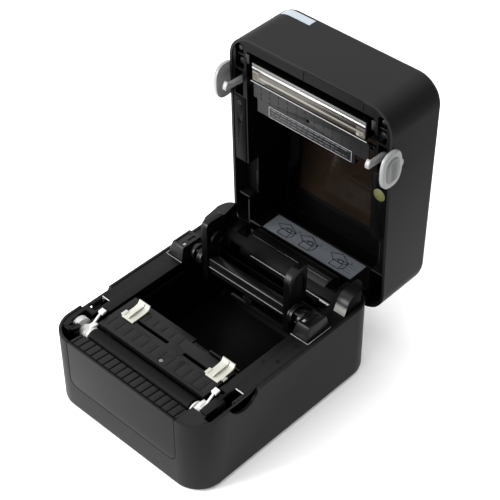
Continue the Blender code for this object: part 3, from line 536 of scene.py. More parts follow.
def base_shell():
    loops = [
        level(plan(3.2), 2.0), level(plan(1.5), 2.4), level(plan(0.4), 3.7), level(plan(0.0), 5.6),
        level(plan(0.0), BASE_TOP - 0.8), level(plan(0.25), BASE_TOP - 0.25), level(plan(0.8), BASE_TOP),
        level(plan(WALL), BASE_TOP), level(plan(WALL), 6.4), level(plan(7.0), 6.4), level(plan(7.0), 2.0),
    ]
    shell = loft(loops, ring=True)
    back = arc(HINGE_Y, HINGE_Z, HINGE_COVER, 90, 40, 16)
    cuts = [prism(back + [(DEPTH + 12, back[-1][1]), (DEPTH + 12, 95), (HINGE_Y, 95)], "X", (-95, 95))]
    opening = [(63.8, 90), (-63.8, 90)] + arc(-55.2, 38, 8.6, 180, 270, 10) + arc(55.2, 38, 8.6, 270, 360, 10)
    cuts.append(prism(opening, "Y", (-2, WALL + 1)))
    for side, sign in SIDES:
        scoop = [(54.5 + (u - 54.5) * 0.9, v) for u, v in arc(54.5, BASE_TOP + 8, 20.4, 180, 360, 36)]
        cuts.append(prism(scoop, "X", mirrored((84, 95), sign)))
        cuts.append(side_box(sign, (46.5, 59.5), (205, 225), (51.5, 90)))
    cuts.append(prism(rounded((-56, 56), (34, 41), 1.5, 4), "Y", (210, 225)))
    for x, z in (((53.6, 66.4), (15.6, 28.4)), ((25.6, 38.4), (16.6, 28.4)), ((-67.4, -48.6), (16.6, 31.4))):
        cuts.append(box(x, (210, 225), z))
    cut(shell, *cuts)
    piece(shell, "base_shell", CASING, bevel=0.25, replaces=("base_housing",), smooth=30)


def cover_panel():
    points = [(63.2, BASE_TOP), (-63.2, BASE_TOP)]
    points += arc(-55.2, 38, 8, 180, 270, 12) + arc(55.2, 38, 8, 270, 360, 12)
    piece(prism(points, "Y", (0, WALL)), "cover_panel", CASING, bevel=0.35, replaces=("front_panel",),
          segments=3)
    # a near-black sheet behind the panel's seam: painted shade in the gap
    back = [(u * 1.012, v) for u, v in points]
    piece(prism(back, "Y", (WALL - 0.9, WALL + 0.5)), "cover_seam_shade", SHADOW, bevel=0.1)


def comb():
    ledge = prism([(2.9, 71.5), (16.8, 71.5), (16.8, 77.1), (2.9, 78.6)], "X", (-63, 63))
    grooves = []
    for k in range(17):
        middle = (k - 8) * 7.5
        grooves.append(
            prism([(3.6, 77.2), (17.5, 75.6), (17.5, 80), (3.6, 80)], "X", (middle - 0.6, middle + 0.6))
        )
    cut(ledge, *grooves)
    piece(ledge, "tear_comb", COMB, bevel=0.18, replaces=("exit_comb",))


def paper_plate():
    """Flat guide in front of the roll bay, with shallow lines and the two slots of the guides."""
    top = 78.3
    plate = box((-62, 62), (34.6, 71), (76.1, top))
    join(plate, box((-62, 12), (70, 77.4), (76.1, top)), box((-62, 62), (34.6, 36.2), (72.2, top)),
         box((10, 62), (70, 77.6), (71.2, 73.2)), box((28, 62), (75.8, 77.4), (72, 76.8)),
         box((12, 62), (70, 71.6), (71.2, top)))
    cuts = [prism(rounded(x, (56.2, 59.8), 0.8, 3), "Z", (60, 90)) for x in ((-54, -2), (16, 54))]
    cuts.append(rod("Z", (8, 40), 2.2, (60, 90)))
    for k in range(12):
        x = -55 + k * 10
        cuts.append(box((x - 0.25, x + 0.25), (38.5, 50.5), (top - 0.35, 80)))
        if x < 10:
            cuts.append(box((x - 0.25, x + 0.25), (62.5, 71), (top - 0.35, 80)))
    for x in (-44, -20, 26, 44):
        cuts.append(box((x - 3.5, x + 3.5), (51.6, 52.1), (top - 0.35, 80)))
    cut(plate, *cuts)
    piece(plate, "paper_plate", PLATE, bevel=0.22, replaces=("guide_plate",))
    shelf = [box((14 + k * 6.4, 14.5 + k * 6.4), (71.8, 77.2), (73.0, 73.5)) for k in range(7)]
    piece(group(*shelf), "shelf_ribs", PLATE, bevel=0.1)


def saddles():
    """Cream paper guides: narrow saddles that curl up at the back, with an upright fence along the middle."""
    base = 78.6
    for side, sign in SIDES:
        near, far = (40.0, 53.0) if sign < 0 else (46.0, 59.8)
        lower = [(53.0, base), (68, base), (71.8, base + 0.5), (73.8, base + 2.4), (74.6, base + 5.4)]
        upper = [(73.6, base + 5.8), (72.8, base + 3.8), (71.6, base + 2.6), (70, base + 1.9), (67, base + 1.4)]
        upper += [(62, base + 1.1), (57, base + 1.0), (54.0, base + 1.1), (53.0, base + 0.8)]
        body = prism(lower + upper, "X", mirrored((near, far), sign))
        fence = [(54.2, base + 0.4), (72.3, base + 0.9), (73.8, base + 3.2), (74.0, base + 5.4),
        (72.4, base + 5.0),
                 (71.2, base + 3.3), (62, base + 3.2), (56, base + 2.8), (54.2, base + 2.0)]
        middle = (near + far) / 2
        join(body, prism(fence, "X", mirrored((middle - 0.9, middle + 0.9), sign)),
             side_box(sign, (46, 50), (57, 59), (73.8, base + 0.6)))
        side_lug = mirrored((near - 2.2, near + 1), sign) if sign > 0 else mirrored((far - 1, far + 2.4), sign)
        join(body, box(side_lug, (54.5, 60.5), (base, base + 1.4)))
        if sign > 0:
            join(body, box((far - 1, 63.4), (57.4, 60.4), (base + 0.9, base + 1.8)),
                 box((61.0, 61.7), (56.6, 61.2), (base + 0.9, base + 2.5)),
                 box((62.7, 63.4), (56.6, 61.2), (base + 0.9, base + 2.5)))
        piece(body, f"saddle_{side}", CREAM, f"guide_{side}", bevel=0.3, replaces=(f"media_guide_{side}",),
              segments=3)


def bushes():
    """White bearings of the platen, each with a slim lever that ends in a T."""
    y, z = PLATEN_Y, PLATEN_Z
    for side, sign in SIDES:
        ring = [(3.15, 60.2), (7.4, 60.2), (7.4, 61.6), (5.9, 62.2), (5.9, 64.2), (6.4, 64.6), (6.4, 70.2),
                (5.4, 70.8), (5.4, 72.2), (3.15, 72.2), (3.15, 60.2)]
        bush = lathe([(r, sign * h) for r, h in ring], "X", (0, y, z), 56)
        lever = [(y + 3, 74.0), (33, 74.0), (38.5, 77.0), (42.4, 80.4), (42.4, 82.0), (38, 79.2), (33, 76.2),
                 (y + 1, 76.6)]
        web = [(y - 1, 75.8), (y + 5, 72.8), (34, 73.8), (35, 76.2), (y + 2, 77.0)]
        head = [(41.2, 80.0), (46.2, 80.6), (46.4, 82.9), (41.4, 82.3)]
        arm = group(prism(lever, "X", mirrored((66.0, 68.1), sign)),
        prism(web, "X", mirrored((62.6, 66.2), sign)),
                    prism(head, "X", mirrored((64.2, 69.7), sign)))
        piece(bush, f"bush_{side}", WHITE, f"bearing_{side}", bevel=0.25, replaces=(f"bearing_{side}",),
              tidy=False)
        piece(arm, f"bush_lever_{side}", WHITE, f"bearing_{side}", bevel=0.35, segments=3)


# Roll holder and hinge cover

def holder():
    """Rail with a stepped front, its end bosses, and the blocks it sits in."""
    profile = [(148.3, 76), (148.3, 78.1), (149, 78.8), (149, 86.6), (149.7, 87.4), (151.4, 87.5),
    (155.6, 87.0),
               (155.9, 86.3), (158.5, 85.8), (158.5, 76)]
    piece(prism(profile, "X", (-63.6, 63.6)), "rail", SATIN_BLACK, bevel=0.22, replaces=("holder_rail",))
    # a thin grey bead along the rail's lower front edge: a painted highlight line
    piece(rod("X", (148.5, 78.4), 0.42, (-43, 43), 16), "rail_highlight_bead", LIP, bevel=0)
    for side, sign in SIDES:
        ring = [(0, 60.5), (7.0, 60.5), (7.7, 61.0), (7.7, 64.9), (0, 64.9)]
        boss = lathe([(r, sign * h) for r, h in ring], "X", RAIL_END, 56)
        piece(boss, f"rail_boss_{side}", SATIN_BLACK, bevel=0.25, tidy=False)
        loops = []
        for z, x0, x1, y0, y1 in ((79.0, 65.2, 82.6, 136.4, 164.2), (80.0, 65.2, 82.4, 136.6, 164.0),
                                  (88.6, 66.6, 81.4, 139.4, 162.4), (91.2, 67.0, 80.8, 140.6, 161.6)):
            loops.append([(sign * x, y, z) for x, y in rounded((x0, x1), (y0, y1), 0.8, 3)])
        block = triangulated(loft(loops))
        cut(block, side_box(sign, (68.6, 72.4), (143, 147.4), (89.4, 95)),
            side_box(sign, (74.2, 79.0), (142.4, 158.6), (90.2, 95)),
            side_box(sign, (68.6, 72.4), (150.2, 158.6), (90.0, 95)))
        piece(block, f"rail_block_{side}", BLOCK, bevel=0.3, replaces=(f"holder_block_{side}",),
              segments=3)
        clip = side_box(sign, (69.2, 71.8), (143.6, 146.8), (89.2, 90.9))
        piece(clip, f"block_clip_{side}", EDGE, bevel=0.3)
        trim = [side_box(sign, (64.6, 84.2), (134.9, 135.4), (78.7, 79.2)),
                side_box(sign, (83.7, 84.2), (134.9, 164), (78.7, 79.2))]
        piece(group(*trim), f"block_trim_{side}", EDGE, bevel=0.1)


def cheeks():
    """Raised shoulders beside the hinge: a front curve that sweeps up and back, pale low on its front from a
    painted highlight.
    """
    low = 79.1
    profile = [(180.6, low), (181.9, 81.2), (183.2, 84.6), (184.7, 88.4), (186.6, 91.4), (189.2, 93.4),
    (193, 94.6),
               (198, 95.2), (206, 95.4), (211, 94.8), (213.2, 92.4), (213.5, 89), (213.5, 72), (206.5, 72),
               (206.5, low)]
    flatter = [(180.6, low), (181.9, 81.2), (182.7, 84.6), (183.4, 88.2), (184.8, 89.8), (191, 90.8),
    (201.4, 92.8),
               (208, 95.0), (211.4, 95.6), (213.2, 94.8), (213.5, 92.6), (213.5, 72), (206.5, 72), (206.5, low)]
    for side, sign in SIDES:
        cheek = prism(flatter if sign < 0 else profile, "X", mirrored((72.2, 84.4), sign))
        combine(cheek, [prism(plan(WALL + 0.6), "Z", (60, 110))], "INTERSECT")
        piece(cheek, f"cheek_{side}", CHEEK, bevel=1.0, replaces=(f"hinge_cheek_{side}",),
              segments=4, smooth=24)


def flanges():
    """Upright plates that hold the roll, with thick rounded rims."""
    top, front, back, low = 126.4, 147.6, 169.0, 57.0
    for side, sign in SIDES:
        corner = 5 if sign < 0 else 12
        outer = [(back, 91), (back + 1.0, top - 7)] + arc(back - 2.6, top - 4.6, 3.6, 0, 90, 8)
        outer += arc(front + corner, top - corner, corner, 90, 180, 16) + [(front, 92)]
        outer += arc(front + 4, low + 4, 4, 180, 270, 6) + [(161, low), (163, 88), (166, 90.4)]
        plate = prism(outer, "X", mirrored((44.6, 51.2), sign))
        pocket = [(152, 94), (166, 94), (167, 112)] + arc(161, 115, 6, 60, 180, 8) + [(151.2, 112)]
        holes = [side_box(sign, (40, 56), (147.9, 158.9), (75.6, 87.9)),
                 side_box(sign, (43.5, 53), (149.9, 153.9), (57.2, 74.8)),
                 prism(pocket, "X", mirrored((49.6, 54), sign))]
        cut(plate, *holes)
        piece(plate, f"flange_{side}", FLANGE, f"flange_{side}", bevel=1.1, replaces=(f"roll_flange_{side}",),
              segments=4, smooth=50)
        hub = lathe([(0, 45), (8, 45), (8, 42.0), (7.2, 41.2), (5, 41.2), (4.4, 42.0), (0, 42.0)], "X",
                    (0, 158.6, 106), 48)
        if sign < 0:
            hub.data.transform(Matrix.Scale(-1, 4, (1, 0, 0)))
            hub.data.flip_normals()
        piece(hub, f"flange_hub_{side}", FLANGE, f"flange_{side}", bevel=0.3, tidy=False)
        ring = [(7.95, 51.1), (8.9, 51.1), (8.9, 52.5), (8.3, 52.8), (8.3, 54.2), (8.9, 54.5), (8.9, 55.9),
                (7.95, 55.9), (7.95, 51.1)]
        collar = lathe([(r, sign * h) for r, h in ring], "X", RAIL_END, 56)
        piece(
            collar, f"flange_collar_{side}", SATIN_BLACK, f"flange_{side}", bevel=0.2,
            tidy=False
        )
        bar = side_box(sign, (-20, 44.5), (150.6, 153.2), (70.0, 72.2) if sign < 0 else (57.8, 60.0))
        piece(bar, f"flange_rack_{side}", SHEEN, f"flange_{side}", bevel=0.2)


def deck_trim():
    """Catch plates, deck screws, the platen's gear with its hood, and the right front corner."""
    for side, sign in SIDES:
        plate = side_box(sign, (74.8, 83.4), (58.4, 59.0), (78.1, 79.1))
        piece(plate, f"catch_plate_{side}", WHITE, bevel=0.12)
        piece(side_box(sign, (82.7, 83.3), (46, 58), (72, 78.6)), f"catch_side_{side}", DECK, bevel=0.12)
        heads = []
        for x, y in ((78.5, 104), (78.5, 128), (70.0, 96)):
            head = lathe(
                [(0, 78.5), (1.7, 78.5), (2.0, 78.7), (2.0, 78.95), (0, 78.95)], "Z", (sign * x, y, 0), 28
            )
            heads.append(head)
        piece(group(*heads), f"deck_screws_{side}", DARK, bevel=0, tidy=False)
    outline = [
        (-80.6, 12.4), (-70.4, 12.8), (-67.4, 18.4), (-69.2, 21.4), (-73.2, 21.4), (-73.4, 19.4),
        (-80.6, 19.4)
    ]
    hood = prism(outline, "Z", (77.7, 80.2))
    join(hood, box((-79.2, -73.6), (12.8, 15.6), (69, 78)), box((-80.9, -79.5), (15, 27.5), (74, 80.2)))
    cut(hood, box((-77.0, -71.4), (14.2, 18.4), (78.4, 82)))
    piece(hood, "gear_hood", DARK, bevel=0.3, segments=3)
    face = lathe([(3.1, -73.9), (9.7, -73.9), (9.7, -73.4), (9.0, -73.1), (5.2, -73.1), (4.8, -72.8),
    (3.1, -72.8),
                  (3.1, -73.9)], "X", (0, PLATEN_Y, PLATEN_Z), 64)
    piece(face, "gear_face", WHITE, "platen", bevel=0.12, tidy=False)
    outline = []
    for tooth in range(52):
        start = 6.923 * tooth
        outline += arc(PLATEN_Y, PLATEN_Z, 9.75, start, start + 3.0, 1)
        outline += arc(PLATEN_Y, PLATEN_Z, 9.2, start + 3.6, start + 6.3, 1)
    wheel = prism(outline, "X", (-79.0, -74.0))
    cut(wheel, rod("X", (PLATEN_Y, PLATEN_Z), 3.15, (-82, -70), 40))
    piece(
        wheel, "platen_wheel", WHITE, "platen", bevel=0, replaces=("platen_gear",),
        smooth=20
    )
    block = box((72.8, 78.4), (21.6, 46.4), (68.0, 79.5))
    join(block, box((70.4, 78.4), (21.6, 46.4), (77.8, 79.5)))
    cut(block, box((75.2, 79), (42.8, 47), (60, 82)))
    piece(block, "corner_socket", DARK, bevel=0.3, replaces=("corner_block_right",))
    apron = box((63.3, 84), (2.9, 18.4), (72.0, 78.3))
    join(apron, box((63.3, 78.4), (17.0, 21.3), (76.4, 78.3)))
    combine(apron, [prism(plan(WALL + 0.5), "Z", (60, 90))], "INTERSECT")
    piece(apron, "corner_apron", COMB, bevel=0.25)
    room = box((78.6, 85.2), (18.0, 47.0), (70.0, 82.0))
    room.data.transform(BASE)
    cut(bpy.data.objects["side_deck_right_fine"], room)


def hinge_cover():
    """Round cover over the hinge line with lengthwise ridges and the ribs of the hinge pins; a paler strip over
    its top is painted light, and the light grey ridge at its front lip is a painted highlight line.
    """
    outer, inner = HINGE_COVER, HINGE_COVER - 2.0
    skin = arc(HINGE_Y, HINGE_Z, outer, 162, 70, 40) + arc(HINGE_Y, HINGE_Z, inner, 70, 162, 40)
    cover = prism(skin, "X", (-69.4, 69.4))
    ribs = []
    for side, sign in SIDES:
        for x in (44.4, 59.6):
            rib = arc(HINGE_Y, HINGE_Z, 6, 186, 354, 20)
            rib += [(HINGE_Y + 5, HINGE_Z + 18.2), (HINGE_Y - 5, HINGE_Z + 18.2)]
            ribs.append(prism(rib, "X", mirrored((x, x + 2), sign)))
    join(cover, *ribs)
    cuts = []
    for side, sign in SIDES:
        slot = mirrored((46.8, 59.2), sign)
        cuts.append(box(slot, (HINGE_Y - 8, 225), (HINGE_Z + 8, 90)))
        cuts.append(box(slot, (180, 192.5), (60, 90)))
        cuts.append(rod("X", (HINGE_Y, HINGE_Z), 2.25, mirrored((40, 66), sign)))
    cut(cover, *cuts)
    piece(cover, "hinge_cover", BRIDGE, bevel=0.3, replaces=("rear_bridge",), smooth=30)
    # the lip bead in light grey is a painted highlight line; the bead on top is dark gloss
    lip, bead = [rod("X", arc(HINGE_Y, HINGE_Z, outer, angle, angle, 1)[0], 0.4, span, 16)
                 for angle, span in ((149.0, (-34, 62)), (97.0, (-44, 44)))]
    # a paler grey strip over the top of the cover, where it faces the light: painted light on the near-black
    # cover
    skin = arc(HINGE_Y, HINGE_Z, outer + 0.08, 118, 84, 16) + arc(HINGE_Y, HINGE_Z, outer - 0.8, 84, 118, 16)
    piece(prism(skin, "X", (18, 46.2)), "cover_lit_patch", DECK, bevel=0.05)
    piece(lip, "cover_lip_highlight", EDGE, bevel=0)
    piece(group(bead), "cover_beads", GLOSS, bevel=0)


base_shell()
cover_panel()
comb()
paper_plate()
saddles()
bushes()
holder()
cheeks()
flanges()
hinge_cover()
deck_trim()


# Lid

def lid_top(y):
    return SEAM + LID_HEIGHT - 5.0 * (max(0.0, y - 125.0) / 63.0) ** 2


def lid_loop(inset, down, shrink=1.0):
    middle = DEPTH / 2
    points = [(x * shrink, middle + (y - middle) * shrink) for x, y in plan(inset)]
    return [(x, y, lid_top(y) - down) for x, y in points]


def outer_lid():
    edge, skin = 6.0, 2.4
    loops = [lid_loop(WALL + edge, skin, 0.35), lid_loop(WALL + edge, skin, 0.7), lid_loop(WALL + edge, skin)]
    for k in (1, 2, 3):
        a = radians(30 * k)
        loops.append(lid_loop(WALL + (edge - 2) * (1 - sin(a)), skin + (edge - 2) * (1 - cos(a))))
    loops += [level(plan(WALL), LID_BOTTOM), level(plan(0.18), LID_BOTTOM), level(plan(0), LID_BOTTOM + 0.18)]
    for k in range(8):
        a = radians(90 * k / 8)
        loops.append(lid_loop(edge * (1 - cos(a)), edge * (1 - sin(a))))
    loops += [lid_loop(edge, 0), lid_loop(edge, 0, 0.7), lid_loop(edge, 0, 0.35)]
    shell = triangulated(loft(loops))
    top = (SEAM + 40, SEAM + 80)
    cuts = [rod("X", (LATCH_Y, LATCH_Z), 3.4, mirrored((80, 95), sign), 32) for side, sign in SIDES]
    cut(shell, prism(rounded(PANE_X, PANE_Y, 3, 6), "Z", top), rod("Z", FEED_BUTTON, 6.4, top, 48),
        box((36, 50), (18, 22), top), box((-5.5, 58), (1.9, 2.5), (SEAM - 1, LID_BOTTOM + 0.7)), *cuts)
    piece(shell, "outer_lid", LID_CASING, "lid", bevel=0, replaces=("lid_shell",), smooth=30,
          tidy=False)


def inner_lid():
    rim, hollow, skin = 3.1, 70.0, 1.6
    front, ledge, back = 13.2, 200.0, 210.0
    low, step, up = LID_BOTTOM + 0.75, SEAM + 25, 5.4

    def inner(grow, z):
        points = rounded((-hollow - grow, hollow + grow), (front - grow, back + grow), 3, 20)
        return [(x, y, lid_top(y) - up if z is None else z) for x, y in points]

    loops = [level(plan(rim), low), inner(0, low), inner(0, None), inner(skin, None), inner(skin, low + skin),
             level(plan(rim), low + skin)]
    liner = triangulated(loft(loops, ring=True))
    shelf = [(ledge, low), (ledge + 1.8, low), (ledge + 1.8, step - 1.8), (back + 0.8, step - 1.8),
             (back + 0.8, step), (ledge, step)]
    join(liner, prism(shelf, "X", (-hollow - 0.8, hollow + 0.8)))
    cuts = []
    for side, sign in SIDES:
        well = [(sign * x, y) for x, y in rounded((72.9, 82.4), (8.6, 33.6), 2.2, 5)]
        cuts += [side_box(sign, (71.7, 90), (133.5, 230), (SEAM - 2, SEAM + 8)),
                 side_box(sign, (62, 90), (133.5, 176), (SEAM - 2, SEAM + 13.5)),
                 side_box(sign, (74.5, 83.6), (36, 62), (SEAM - 2, SEAM + 8)),
                 rod("X", (LATCH_Y, LATCH_Z), 3.4, mirrored((66, 76), sign)), prism(well, "Z", (70, 90))]
    cuts.append(prism(rounded((65.8, 72.6), (27, 41), 1.2, 5), "Z", (70, 90)))
    cuts.append(box((-5.9, -5.3), (2.9, 12.4), (SEAM - 1, low + 0.8)))
    cuts.append(box((57.6, 58.2), (4.0, 12.4), (SEAM - 1, low + 0.8)))
    cut(liner, *cuts)
    piece(liner, "inner_lid", LINER, "lid", bevel=0, replaces=("lid_liner",), smooth=30,
          tidy=False)


def lid_bands():
    """Raised bands beside the hollow, with screws, a pocket edge, corner posts, head lugs and the ribs of the
    front recess. Raised bands beside the hollow, with screws, a blank sticker and a pocket edge.
    """
    for side, sign in SIDES:
        outline = [(71.9, 64), (71.9, 133.0), (82.6, 133.0), (85.0, 128.0), (85.0, 64)]
        band = prism([(sign * x, y) for x, y in outline], "Z", (79.95, 80.7))
        cut(band, rod("Z", (sign * 78.4, 89), 2.0, (70, 90), 32))
        piece(band, f"lid_band_{side}", BAND, "lid", bevel=0.3)
        head = lathe([(0, 0.0), (1.9, 0.0), (2.3, 0.4), (2.3, 1.6), (0, 1.6)], "Z", (sign * 78.4, 70, 79.6), 32)
        cut(head, box((sign * 78.4 - 1.3, sign * 78.4 + 1.3), (69.75, 70.25), (79, 80.1)),
            box((sign * 78.4 - 0.25, sign * 78.4 + 0.25), (68.7, 71.3), (79, 80.1)))
        piece(head, f"lid_screw_{side}", DARK_ALU, "lid", bevel=0.08)
        # painted shade: the pocket's walls in near-black
        pocket = [side_box(sign, (71.8, 86.2), (134.0, 176.0), (93.6, 94.6)),
                  side_box(sign, (71.8, 86.2), (134.0, 134.9), (81.0, 94.0)),
                  side_box(sign, (71.8, 84.6), (174.4, 175.3), (83.4, 94.0))]
        piece(group(*pocket), f"pocket_wall_{side}", SHADOW, "lid", bevel=0.3)
        # lighter grey ribs along the pocket's edges: painted highlight lines
        edge = [side_box(sign, (71.8, 84.0), (174.2, 175.3), (82.4, 83.3)),
                side_box(sign, (71.6, 72.4), (150, 175.3), (93.0, 93.5))]
        piece(group(*edge), f"pocket_highlight_rib_{side}", DECK, "lid", bevel=0.2)
        posts = [rod("Z", (sign * 77.8, 14.0), 2.4, (82.4, 120), 28),
                 side_box(sign, (73, 82), (20.4, 21.4), (82.6, 120)),
                 rod("Z", (sign * 77.4, 27.6), 3.0, (83.4, 120), 28)]
        piece(group(*posts), f"corner_posts_{side}", SATIN_BLACK, "lid", bevel=0.25)
        lug = prism([(sign * 66.5, 15.8), (sign * 70.5, 15.8), (sign * 70.5, 24), (sign * 68.2, 26),
                     (sign * 66.5, 24)], "Z", (80.5, 84))
        piece(lug, f"head_lug_{side}", SATIN_BLACK, "lid", bevel=0.3)
    ribs = [box((x - 0.35, x + 0.35), (13.25, 16.4), (85.0, 92)) for x in range(-60, 61, 5)]
    piece(group(*ribs), "recess_ribs", SATIN_BLACK, "lid", bevel=0.12)


def print_unit():
    """Print head: a grey lip, a polished bar, the glazed element, its epoxy strips and pale end pads."""
    lip = [(20.4, 80.2), (20.5, 79.2), (20.9, 78.9), (21.3, 79.2), (23.2, 79.3), (23.4, 80.2)]
    piece(prism(lip, "X", (-61.8, 61.8)), "head_lip", LIP, "printhead", bevel=0.1, smooth=50)
    bar = [(23.6, 80.2), (23.7, 79.3), (24.1, 78.8), (25.1, 78.6), (26.1, 78.8), (26.6, 79.3), (26.7, 80.2)]
    piece(prism(bar, "X", (-61.8, 61.8)), "head_bar", POLISHED, "printhead", bevel=0.15,
          replaces=("thermal_element",), smooth=50)
    glaze = [(26.9, 79.7), (27.4, 79.3), (29.0, 79.0), (31.0, 79.1), (37.0, 79.3), (37.4, 79.6), (37.4, 80.3),
             (26.9, 80.3)]
    piece(prism(glaze, "X", (-61.6, 61.6)), "head_glaze", CERAMIC, "printhead", bevel=0.12,
          smooth=50)
    strips = [prism([(0, 30.0), (20, 28.6), (52, 28.0), (52, 31.0), (20, 31.0), (0, 30.4)], "Z", (78.85, 79.4)),
              prism([(-48, 35.8), (-42, 34.8), (59, 34.6), (60, 37.2), (-47, 37.2)], "Z", (78.9, 79.6))]
    piece(group(*strips), "head_cover_strips", EPOXY, "printhead", bevel=0.12)
    bright = [box((-54, 60.6), (31.6, 33.3), (78.85, 79.4)), box((-61.2, -54.6), (28.4, 36.8), (78.9, 79.5)),
              box((52.6, 61.2), (33.8, 36.8), (78.8, 79.5))]
    piece(group(*bright), "head_electrodes", PAD, "printhead", bevel=0.12)
    pads = []
    for k in range(12):
        for sign in (-1, 1):
            x = sign * (55.6 + 0.46 * k)
            pads.append(box((x - 0.1, x + 0.1), (29.0, 36.2) if sign < 0 else (34.2, 36.4), (78.7, 79.2)))
    piece(group(*pads), "head_pads", GOLD, "printhead", bevel=0)


def ruler():
    """Bent plate behind the print head with dark ticks and a blank framed label of plain bars."""
    z, skin = SEAM, 1.5
    flat = z + 2.6
    profile = [(39.0, z - 0.6), (43.6, flat), (71.2, flat), (71.2, z + 8), (69.7, z + 8), (69.7, flat + skin),
               (43.0, flat + skin), (39.0, z - 0.6 + skin)]
    plate = prism(profile, "X", (-63.8, 63.8))
    cut(plate, box((-70, -59.5), (57.5, 80), (z - 5, z + 12)), box((49.5, 70), (60.5, 80), (z - 5, z + 12)),
        rod("Z", (-2, 53), 1.6, (z - 5, z + 12)))
    piece(plate, "ruler", RULER, "lid", bevel=0.35, replaces=("ruler_plate",))
    ticks = []
    for k in range(12):
        x = -55 + 10 * k
        for y in (44.4, 49.6, 54.6):
            ticks.append(box((x - 0.4, x + 0.4), (y, y + 2.9), (flat - 0.08, flat + 0.2)))
    piece(group(*ticks), "ruler_ticks", INK, "lid", bevel=0)
    # a light grey rod along the plate's bend: a painted highlight line
    piece(rod("X", (39.1, z - 0.55), 0.4, (-63.6, 63.6), 16), "ruler_bend_highlight", EDGE, "lid", bevel=0)
    border = [box((-46, 46), (59.4, 59.8), (flat - 0.1, flat + 0.2)),
              box((-46, 46), (70.2, 70.6), (flat - 0.1, flat + 0.2)),
              box((-46, -45.6), (59.4, 70.6), (flat - 0.1, flat + 0.2)),
              box((45.6, 46), (59.4, 70.6), (flat - 0.1, flat + 0.2))]
    piece(group(*border), "ruler_border", PRINT, "lid", bevel=0)
    frame_lines = []
    lengths = (5.2, 3.1, 6.4, 2.6, 4.4, 7.0, 3.6, 5.0)
    for row, (y, tall, first, last) in enumerate(((61.2, 0.6, -43, 43), (64.4, 0.45, -43, 30),
                                                  (67.4, 0.45, -43, 41))):
        x = first
        k = row * 3
        while x < last:
            end = min(x + lengths[k % 8], last)
            frame_lines.append(box((x, end), (y, y + tall), (flat - 0.1, flat + 0.2)))
            x = end + 1.4
            k += 1
    piece(group(*frame_lines), "ruler_marks", FAINT, "lid", bevel=0)


def ledge_label():
    """Silver label on the ledge, with three plain pictures of a box being opened."""
    plate = prism(rounded((-55, 50), (81.6, 103.8), 0.8, 4), "Y", (199.7, 200.05))
    piece(plate, "ledge_label", LABEL, "lid", bevel=0.05)
    y = 199.66
    strokes = []
    for k, x in enumerate((-40, -14, 22)):
        lid_up = (((0, 0), (9, 0), (9, 6), (0, 6), (0, 0)), ((0, 6), (3, 9.5), (12, 9.5), (9, 6)),
                  ((9, 0), (12, 3), (12, 9.5)))
        for line in lid_up:
            strokes.append(wire([(x + 1.2 * u, y, 84.6 + 1.1 * v) for u, v in line], 0.34))
        flap = ((0, 6), (-6, 9 + k), (2, 14 + k), (12, 9.5))
        strokes.append(wire([(x + 1.2 * u, y, 84.6 + 1.1 * v) for u, v in flap], 0.34))
        roll = [(x + 7 + 2.8 * cos(a), y, 93.4 + 2.2 * sin(a)) for a in (2 * pi * j / 16 for j in range(16))]
        strokes.append(wire(roll, 0.42, closed=True))
        arrow = ((14, 10), (17, 12), (17, 9), (17, 12), (14.5, 13.5))
        strokes.append(wire([(x + u, y, 86 + v) for u, v in arrow], 0.2))
    for k in range(4):
        strokes.append(wire([(34, y, 86.5 + 3.2 * k), (46 - 2 * (k % 2), y, 86.5 + 3.2 * k)], 0.16))
    piece(group(*strokes), "ledge_pictures", INK, "lid", bevel=0, tidy=False)
    lips = [box((-69, 69), (198.9, 200.0), (104.4, 105.4)), box((-69, 69), (199.2, 200.0), (80.5, 81.2))]
    piece(group(*lips), "ledge_lips", SATIN_BLACK, "lid", bevel=0.25)


def stickers():
    disc = lathe([(0, 79.66), (5.6, 79.66), (5.8, 79.76), (5.8, 79.96), (0, 79.96)], "Z", (78.5, 86, 0), 64)
    piece(disc, "round_sticker", STICKER, "lid", bevel=0, tidy=False)
    ring = lathe([(4.3, 79.6), (4.8, 79.6), (4.8, 79.7), (4.3, 79.7), (4.3, 79.6)], "Z", (78.5, 86, 0), 48)
    piece(ring, "sticker_ring", STICKER_RING, "lid", bevel=0, tidy=False)
    band = prism(plan(-0.16), "Z", (129.4, 137.8))
    cut(band, prism(plan(0.02), "Z", (120, 150)))
    badge = combine(band, [box((-76, -43), (-2, 30), (120, 150))], "INTERSECT")
    piece(badge, "blank_badge", PAPER, "lid", bevel=0, smooth=30)


